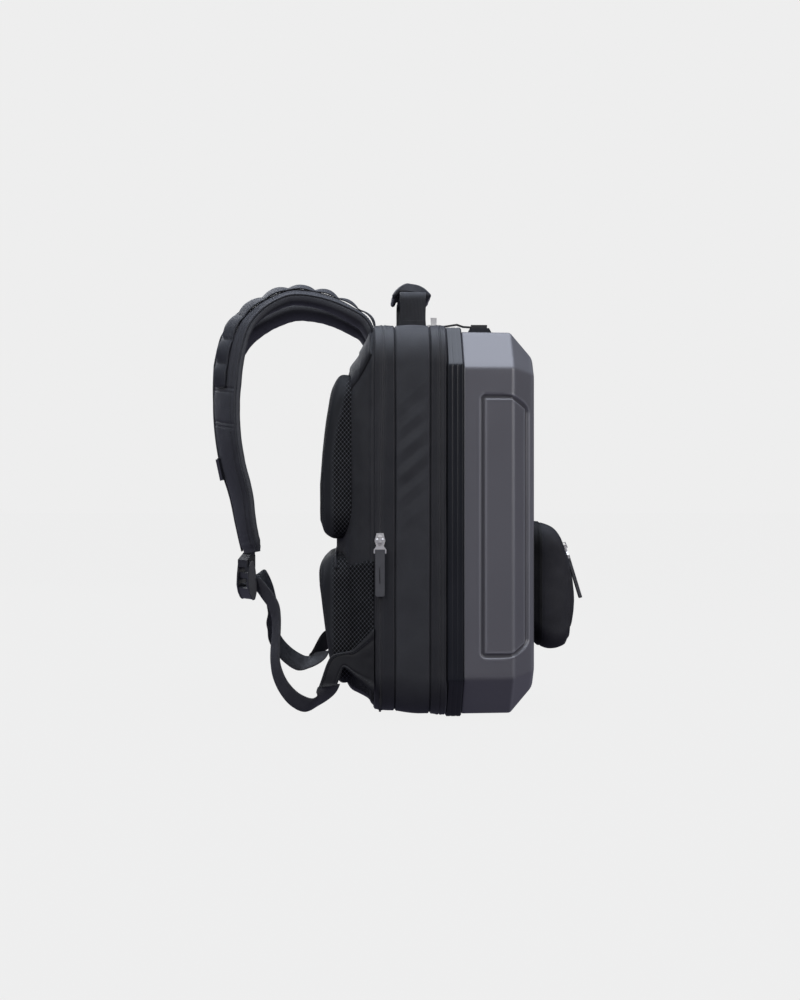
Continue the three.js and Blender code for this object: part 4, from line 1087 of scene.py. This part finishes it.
WEBBING_ROWS = [
    ((0.703, 0.725, 0.360), (0.574, 0.747, 0.318), 0, 0.2),
    ((0.723, 0.688, 0.348), (0.594, 0.710, 0.295), 0, 0.27),
    ((0.742, 0.630, 0.318), (0.613, 0.670, 0.274), 0, 0.47),
    ((0.755, 0.596, 0.293), (0.626, 0.654, 0.251), 0, 0.58),
    ((0.761, 0.585, 0.262), (0.632, 0.647, 0.223), 0.1, 0.58),
    ((0.774, 0.589, 0.199), (0.639, 0.656, 0.174), 0.5, 0.58),
    ((0.781, 0.595, 0.153), (0.645, 0.654, 0.138), 0.8, 0.52),
    ((0.787, 0.578, 0.127), (0.652, 0.641, 0.099), 0.95, 0.58),
    ((0.800, 0.539, 0.096), (0.671, 0.598, 0.060), 1, 0.58),
    ((0.813, 0.469, 0.067), (0.697, 0.526, 0.028), 1, 0.58),
    ((0.826, 0.388, 0.055), (0.710, 0.445, 0.013), 0.9, 0.58),
    ((0.845, 0.359, 0.058), (0.729, 0.354, 0.034), 0.75, 0.58),
    ((0.858, 0.346, 0.069), (0.794, 0.269, 0.064), 0.6, 0.58),
    ((0.865, 0.339, 0.084), (0.858, 0.228, 0.090), 0.5, 0.58),
]


def build_lower_webbing(strap, label):
    side = strap.side
    right = 1 if side > 0 else 0
    centre, axis_x, axis_y = lock_frame(strap)
    level = 23 - 12 - 14 - 3 + 0.75 + 1.6
    edges = []
    for key, over in ((0, 1), (1, -1)):
        edge = centre + axis_x * side * over * WEBBING_WIDTH / 2
        points = [edge + axis_y * out * 7.0 + np.array([0, 0, level]) for out in (0.1, -0.9)]
        for row in WEBBING_ROWS:
            shift = np.array([0, right * row[3] * RIGHT_SWING, right * row[2] * RIGHT_LIFT])
            points.append(place(side, *row[key]) + shift)
        edges.append(centripetal(points, 170)[0])
    near, far = edges
    middle = (near + far) / 2
    across = unit(far - near)
    tangent = unit(np.gradient(middle, axis=0))
    face = unit(np.cross(across, tangent)) * -side
    cross = [
        (-1, 0.2), (-0.96, 0), (-0.4, -0.05), (0.4, -0.05), (0.96, 0), (1, 0.2), (1, 0.8), (0.96, 1),
        (0.4, 1.05), (-0.4, 1.05), (-0.96, 1), (-1, 0.8),
    ]
    grid = np.stack([
        middle + across * (o * WEBBING_WIDTH / 2) + face * a * WEBBING_THICKNESS
        for o, a in cross], axis=1)
    rim = np.array([0, 0.5, 8, 17, 24.5, 25, 26, 26.5, 34, 43, 50.5, 51])
    uv = strip_uv(rim, running_length(middle))
    piece = grid_piece(f"lower_webbing_{label}_skin", grid, "webbing", capped=True, uv=uv)
    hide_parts(f"lower_webbing_{label}")


# Ladder lock: outlines of its rails and bars as (out, up) from its middle
LOCK_HALF, RAIL_INSIDE, BAR_HALF = 16.5, 12.9, 13.4
LOCK_RAIL = [
    (-1.6, 23.0), (1.8, 22.8), (4.0, 17.0), (5.2, 5.0), (5.6, -6.0), (4.0, -14.0), (1.2, -20.4),
    (-1.2, -22.4), (-3.6, -21.4), (-5.4, -14.0), (-5.8, -1.0), (-3.8, 13.0),
]
LOCK_BARS = [
    [(-2, 23), (2, 23), (2.9, 22), (2.9, 18.4), (2, 17.4), (-2, 17.4), (-2.9, 18.4), (-2.9, 22)],
    [(-2, 9.5), (2, 9.5), (3, 8.5), (3, 2.7), (2, 1.5), (-2, 1.5), (-3, 2.7), (-3, 8.5)],
    [(-2.5, -6.8), (2.0, -6.8), (4.2, -9), (3.4, -14), (0.8, -20), (-1.4, -21.8), (-3.2, -20.6), (-4.4, -14)],
]


def build_ladder_lock(strap, label):
    centre, axis_x, axis_y = lock_frame(strap)
    verts, faces = [], []

    def prism(outline, start, end):
        first, count = len(verts), len(outline)
        for at in (start, end):
            for out, up in outline:
                verts.append(centre + axis_x * at + axis_y * out + np.array([0, 0, up]))
        faces.append(list(range(first, first + count)))
        faces.append(list(range(first + 2 * count - 1, first + count - 1, -1)))
        for i in range(count):
            j = (i + 1) % count
            faces.append([first + i, first + count + i, first + count + j, first + j])

    prism(LOCK_RAIL, -LOCK_HALF, -RAIL_INSIDE)
    prism(LOCK_RAIL, RAIL_INSIDE, LOCK_HALF)
    for outline in LOCK_BARS:
        prism(outline, -BAR_HALF, BAR_HALF)
    piece = make_piece(f"ladder_lock_{label}_skin", verts, faces, "buckle", smooth_faces=False)
    soften(piece, 0.8, 3, 25)
    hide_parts(f"ladder_lock_{label}")


# Corner tabs: cloth wings from the side seams that hold the lower webbing
WING_ROWS = [
    ((0.0, 0.234), (0.0, 0.07)), ((0.124, 0.182), (0.107, 0.108)), ((0.18, 0.173), (0.185, 0.133)),
    ((0.275, 0.158), (0.205, 0.118)), ((0.345, 0.086), (0.228, 0.0925)),
]


def build_corner_tab(side, label):
    root = SOFT_HALF - 4 + 0.3
    shift = 1 if side > 0 else 0
    rows = len(WING_ROWS) - 1
    tops, bottoms = [], []
    for i, (top, bottom) in enumerate(WING_ROWS):
        share = i / rows
        move = np.array([0, shift * share * 0.58 * RIGHT_SWING, shift * share ** 2 * 0.5 * RIGHT_LIFT])
        for (out, up), out_list in ((top, tops), (bottom, bottoms)):
            p = place(side, 0, out, up)
            p[0] = side * (root - 0.3 * out * STRAP_REACH)
            out_list.append(p + move)
    top = spline_rows(tops, 46)
    bottom = spline_rows(bottoms, 46)
    over = np.linspace(0, 1, 26)
    sheet = top[:, None] + (bottom - top)[:, None] * over[None, :, None]
    puff = rumple(sheet, 0.5, 16.0, 0.25, 7.0, 71)
    edge = np.minimum(over, 1 - over)[None]
    puff = puff + 0.9 * bump(edge, 0.08, 0.05) - 0.8 * bump(edge, 0.17, 0.03)
    fold = unit(sheet[-1] - sheet[-2])
    ends = np.stack([sheet[-1] + fold * reach for reach in (1.2, 2.4, 3.4, 3.8)])
    sheet = np.concatenate([sheet, ends])
    puff = np.concatenate([puff, np.stack([puff[-1] + lift for lift in (0.9, 1.1, 0.7, -0.4)])])
    outer = sheet.copy()
    outer[:, :, 0] += side * (2.0 + puff)
    inner = sheet.copy()
    inner[:, :, 0] += side * (0.1 + 0.3 * puff)
    grid = np.concatenate([outer, inner[:, ::-1]], axis=1)
    piece = grid_piece(f"corner_tab_{label}_skin", grid, "tab", capped=True)
    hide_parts(f"corner_tab_{label}")
    lift = np.array([side * 2.7, 0, 0])
    lines = [mix(top, bottom, 0.13)[2:-2] + lift, mix(top, bottom, 0.87)[2:-2] + lift, sheet[-4, 2:-2] + lift]
    dashes(f"corner_stitches_{label}", lines, "thread", 3.2, 2.1, 0.32)


# Carry handle
HANDLE_HEIGHT, HANDLE_HALF, HANDLE_WIDTH = 44.5, 75.0, 31.0
GRIP_HALF, GRIP_WIDTH, GRIP_HEIGHT = 45.0, 46.0, 14.0


def build_handle():
    middle = (GUSSET_FRONT + GUSSET_BACK) / 2 - 2.5
    low, high = SOFT_TOP + 0.4, SOFT_TOP + HANDLE_HEIGHT - 1.2
    half, bend = HANDLE_HALF - 1.2, 9.0
    angles = np.linspace(0, math.pi / 2, 9)
    turn = [(half - bend + bend * math.cos(a), high - bend + bend * math.sin(a)) for a in angles]
    right = [(half, z) for z in np.linspace(low, high - bend - 1, 14)] + turn
    top = [(x, high) for x in np.linspace(half - bend - 2, -(half - bend - 2), 40)]
    left = [(-x, z) for x, z in right[::-1]]
    line = np.array(right + top + left)
    path = at_depth(line, middle)
    tangent = unit(np.gradient(path, axis=0))
    out = unit(np.cross(tangent, np.array([0, 1.0, 0])))
    height = (path[:, 2] - low) / (high - low)
    width = HANDLE_WIDTH / 2 * (1 + 0.05 * smooth(0.25, 0.0, height) - 0.03 * bump(height, 0.45, 0.3))
    lean = 1.4 * (height - 0.3) * 0.8
    cross = [
        (-1, -0.6), (-0.97, -1), (-0.3, -1.05), (0.3, -1.05), (0.97, -1), (1, -0.6), (1, 0.6), (0.97, 1),
        (0.3, 1.05), (-0.3, 1.05), (-0.97, 1), (-1, 0.6),
    ]
    grid = np.stack([
        path + np.array([0, 1.0, 0]) * (o * width - lean)[:, None] + out * a * 1.1 for o, a in cross], axis=1)
    rim = np.array([0, 0.5, 10, 20, 30.5, 31, 32, 33, 43, 53, 62.5, 63])
    uv = strip_uv(rim, running_length(path))
    piece = grid_piece("handle_webbing_skin", grid, "handle", capped=True, uv=uv)
    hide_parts("handle_webbing")
    boxes = []
    for sx in (-1, 1):
        x = sx * (half + 1.25)
        for z in (low + 3.0, low + 9.5):
            boxes.append(np.array([(x, middle - 12, z), (x, middle + 12, z)]))
    dashes("handle_stitches", boxes, "thread", 2.6, 1.9, 0.34)
    build_grip(middle)


GRIP_PROFILE = [
    (0.5, 0.0), (0.43, 0.34), (0.3, 0.74), (0.14, 1.0), (0.0, 0.97), (-0.17, 0.86), (-0.32, 0.62),
    (-0.43, 0.3), (-0.5, 0.02), (-0.47, -0.2), (-0.41, -0.3), (-0.39, -0.05), (-0.34, 0.12),
    (0.0, 0.16), (0.34, 0.12), (0.4, -0.05), (0.44, -0.3), (0.49, -0.2),
]


def build_grip(middle):
    low = SOFT_TOP + HANDLE_HEIGHT + 0.3 - 1.4
    loop = np.array(GRIP_PROFILE + GRIP_PROFILE[:1])
    dense = spline_rows(loop, 90)[:-1]
    ends = np.array([42, 43.6, 44.6, GRIP_HALF])
    stations = np.concatenate([-ends[::-1], np.linspace(-39, 39, 40), ends])
    grid = []
    centre = np.array([0.0, 0.3])
    for x in stations:
        edge = GRIP_HALF - abs(x)
        shrink = 1 - 0.10 * (1 - float(smooth(0.0, 3.2, edge)))
        shape = centre + (dense - centre) * shrink
        shape = shape * np.array([1, 1 + 0.05 * math.cos(math.pi * x / (2 * GRIP_HALF))])
        depths, heights = middle + shape[:, 0] * GRIP_WIDTH, low + shape[:, 1] * GRIP_HEIGHT
        grid.append(np.column_stack([np.full(len(shape), x), depths, heights]))
    grid = np.array(grid)
    normals = outward(grid_normals(grid), grid, np.array([0, middle, low + 5]))
    grid = grid + normals * rumple(grid, 0.35, 14.0, 0.15, 6.0, 81)[:, :, None]
    piece = grid_piece("handle_grip_skin", grid, "grip", capped=True)
    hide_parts("handle_grip")


# Front pouch: how far out, then how far the foot, top and sides draw in
POUCH_ROWS = [
    (0.0, 0.0, 0.0, 0.0), (0.14, -0.036, 0.012, -0.008), (0.34, -0.068, 0.03, -0.006),
    (0.45, -0.068, 0.048, 0.0), (0.58, -0.057, 0.085, 0.015), (0.69, -0.042, 0.165, 0.035), (0.77, -0.028, 0.255, 0.058),
    (0.86, 0.07, 0.36, 0.1), (0.94, 0.15, 0.47, 0.17), (1.0, 0.215, 0.586, 0.3),
]


def eased_rows(rows, count, reach):
    """Straight runs between table rows, with each corner eased over reach rows."""
    table = np.array(rows, float)
    way = running_length(table * np.array([0.35, 1, 1, 1]))
    sharp = read_table(np.linspace(0, way[-1], count), way, table)
    padded = np.pad(sharp, ((reach, reach), (0, 0)), mode="edge")
    eased = np.stack([padded[k:k + count] for k in range(2 * reach + 1)]).mean(axis=0)
    eased[0], eased[-1] = sharp[0], sharp[-1]
    return eased


def build_pouch():
    rows = eased_rows(POUCH_ROWS, 64, 2)
    grid = []
    for out, low, high, side in rows:
        points, _ = round_section(
            POUCH_WIDTH / 2 * (1 - side),
            POUCH_LOW + low * POUCH_HEIGHT, POUCH_LOW + POUCH_HEIGHT * (1 - high),
            30 * (1 - out * 0.6), (12, 40, 60))
        grid.append(at_depth(points, SHELL_FRONT - 0.3 - out * POUCH_DEPTH))
    grid = np.array(grid)
    normals = outward(grid_normals(grid), grid, np.array([0, SHELL_FRONT, POUCH_LOW + POUCH_HEIGHT / 2]))
    out = np.array([r[0] for r in rows])[:, None]
    folds = rumple(grid, 0.7, 24.0, 0.35, 10.0, 91)
    piping = 0.9 * bump(out, 0.16, 0.018) - 0.8 * bump(out, 0.2, 0.016) - 0.5 * bump(out, 0.12, 0.016)
    front = 1.3 * bump(out, 0.83, 0.02) - 1.3 * bump(out, 0.875, 0.016)
    grid = grid + normals * (folds + piping + front)[:, :, None]
    last = grid[-1]
    middle = np.array([0, SHELL_FRONT - 0.3 - POUCH_DEPTH, (last[:, 2].max() + last[:, 2].min()) / 2])
    caps = [mix(last, middle, t) for t in (0.15, 0.4, 0.7, 0.999)]
    piece = grid_piece("pouch_skin", np.concatenate([grid, caps]), "pouch")
    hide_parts("pouch")


# Moulded and metal parts keep their CAD solids, with softened edges
def dress(node, slot, width=0.5, segments=3, angle=35):
    solid = nodes[node]
    for face_slot in solid.material_slots:
        face_slot.material = MATERIALS[slot]
    if not solid.material_slots:
        solid.data.materials.append(MATERIALS[slot])
    soften(solid, width, segments, angle)


def soften(thing, width, segments, angle):
    edges = thing.modifiers.new("soft edges", "BEVEL")
    edges.width = width * MM
    edges.segments = segments
    edges.limit_method = "ANGLE"
    edges.angle_limit = math.radians(angle)
    edges.harden_normals = False


def build_tab_slot_shades():
    """Painted shade: a dark rod laid along each rubber pull tab where its slot is pressed in."""
    for node, body, over in (
            ("side_zip_pull_tab", "side_pull", (0, 1.0, 0)),
            ("pouch_zip_pull_tab", "pouch_pull", (-1.0, 0, 0))):
        corners = np.array([v.co[:] for v in nodes[node].data.vertices]) / MM
        middle = corners.mean(axis=0)
        above = corners[:, 2] - middle[2]
        long = unit(corners[above > 0].mean(axis=0) - corners[above < 0].mean(axis=0))
        out = unit(np.cross(np.array(over), long))
        if np.dot(out, np.array([-1.0, -0.6, 0])) < 0:
            out = -out
        start = middle + long * 17 + out * 1.72
        end = middle - long * 4 + out * 1.72
        dashes(f"{node}_slot", [[start, end]], "coil", 21.0, 21.0, 0.55, body=body)


def dress_small_parts():
    for side in ("left", "right"):
        dress(f"strap_slide_{side}", "buckle", 0.8)
        dress(f"buckle_loop_{side}", "loop", 0.4)
    for name in ("side_zip", "pouch_zip"):
        dress(f"{name}_slider", "metal", 0.35)
        dress(f"{name}_pull", "metal", 0.35)
        dress(f"{name}_pull_tab", "rubber", 0.8)
    dress("top_zip_slider", "metal", 0.4)
    dress("top_puller", "darkrubber", 0.4)
    dress("puller_stub", "darkrubber", 1.2)
    dress("lock_dock", "buckle", 1.0)


# Camera, floor and light
def aim(thing, target):
    thing.rotation_euler = (Vector(target) - thing.location).to_track_quat("-Z", "Y").to_euler()


CAMERA_TARGET = (-0.110, 0.0607, 0.247)
CAMERA_YAW, CAMERA_REACH, CAMERA_LENS = -1.7, 1.890, 59.65
BACKDROP = (0.855, 0.855, 0.855)
# Name, place, target, size, power and colour of each lamp, in metres and watts
LIGHTS = [
    ("overhead", (-0.15, 0.05, 2.3), (0, 0.03, 0.3), (2.6, 2.6), 75, (0.82, 0.88, 1.0)),
    ("side_back", (-2.1, 2.2, 1.5), (0, 0.05, 0.2), (1.5, 1.5), 36, (1.0, 0.985, 0.975)),
    ("side_front", (-2.3, -2.1, 1.3), (0, -0.05, 0.2), (1.5, 1.5), 36, (1.0, 0.985, 0.975)),
    ("front", (-0.9, -2.9, 1.0), (0, -0.08, 0.22), (1.2, 1.6), 9, (0.98, 0.98, 1.0)),
    ("back", (2.4, 1.2, 1.4), (0, 0.03, 0.2), (1.5, 1.5), 26, (0.95, 0.97, 1.0)),
]


def build_camera():
    camera = add_object("camera", bpy.data.cameras.new("camera"))
    x, y, z = CAMERA_TARGET
    yaw = math.radians(CAMERA_YAW)
    camera.location = (x - CAMERA_REACH * math.cos(yaw), y - CAMERA_REACH * math.sin(yaw), z)
    aim(camera, CAMERA_TARGET)
    camera.data.lens = CAMERA_LENS
    camera.data.sensor_width = 36.0
    camera.data.clip_end = 100.0
    bpy.context.scene.camera = camera


def build_world():
    """Dim from below, pale blue from above, and the backdrop's own grey where it is seen."""
    g = Graph("studio", bpy.data.worlds.new("studio"))
    bpy.context.scene.world = g.material
    seen = g.node("ShaderNodeLightPath").outputs["Is Camera Ray"]
    up = g.axes("Generated")[1][2]
    rise = g.node("ShaderNodeMapRange", {"Value": up, "From Min": 0.05, "From Max": 0.8}).outputs[0]
    dome = g.blend(rise, (0.06, 0.06, 0.064), (0.30, 0.33, 0.41))
    g.put(g.tree.nodes["Background"].inputs["Color"], g.blend(seen, dome, BACKDROP))


def build_stage():
    build_world()
    mesh = bpy.data.meshes.new("floor")
    reach = 30.0
    corners = [(-reach, -reach, 0), (reach, -reach, 0), (reach, reach, 0), (-reach, reach, 0)]
    mesh.from_pydata(corners, [], [(0, 1, 2, 3)])
    floor = add_object("floor", mesh)
    floor.location.z = -0.0004
    g = Graph("pale floor")
    seen = g.node("ShaderNodeLightPath").outputs["Is Camera Ray"]
    tint = g.blend(seen, (0.72, 0.70, 1.0), BACKDROP)
    glow = g.node("ShaderNodeMapRange", {"Value": seen, "To Min": 0.22, "To Max": 0.992}).outputs[0]
    mesh.materials.append(g.finish(
        (0.006, 0.006, 0.006), 0.9, Specular_IOR_Level=0.0, Emission_Color=tint, Emission_Strength=glow))
    scene = bpy.context.scene
    scene.view_settings.view_transform = "Standard"
    scene.view_settings.look = "None"
    for name, location, target, size, power, color in LIGHTS:
        data = bpy.data.lights.new(name, "AREA")
        data.shape = "RECTANGLE"
        data.size, data.size_y = size
        data.energy = power
        data.color = color
        lamp = add_object(name, data)
        lamp.location = location
        aim(lamp, target)


build_camera()
build_shell()
build_frame()
build_bands()
build_back_panel()
build_pads()
for side, label in ((-1, "left"), (1, "right")):
    strap = build_strap_pad(side, label)
    build_daisy(strap, label)
    build_lower_webbing(strap, label)
    build_ladder_lock(strap, label)
    build_corner_tab(side, label)
build_handle()
build_pouch()
dress_small_parts()
build_tab_slot_shades()
build_stage()
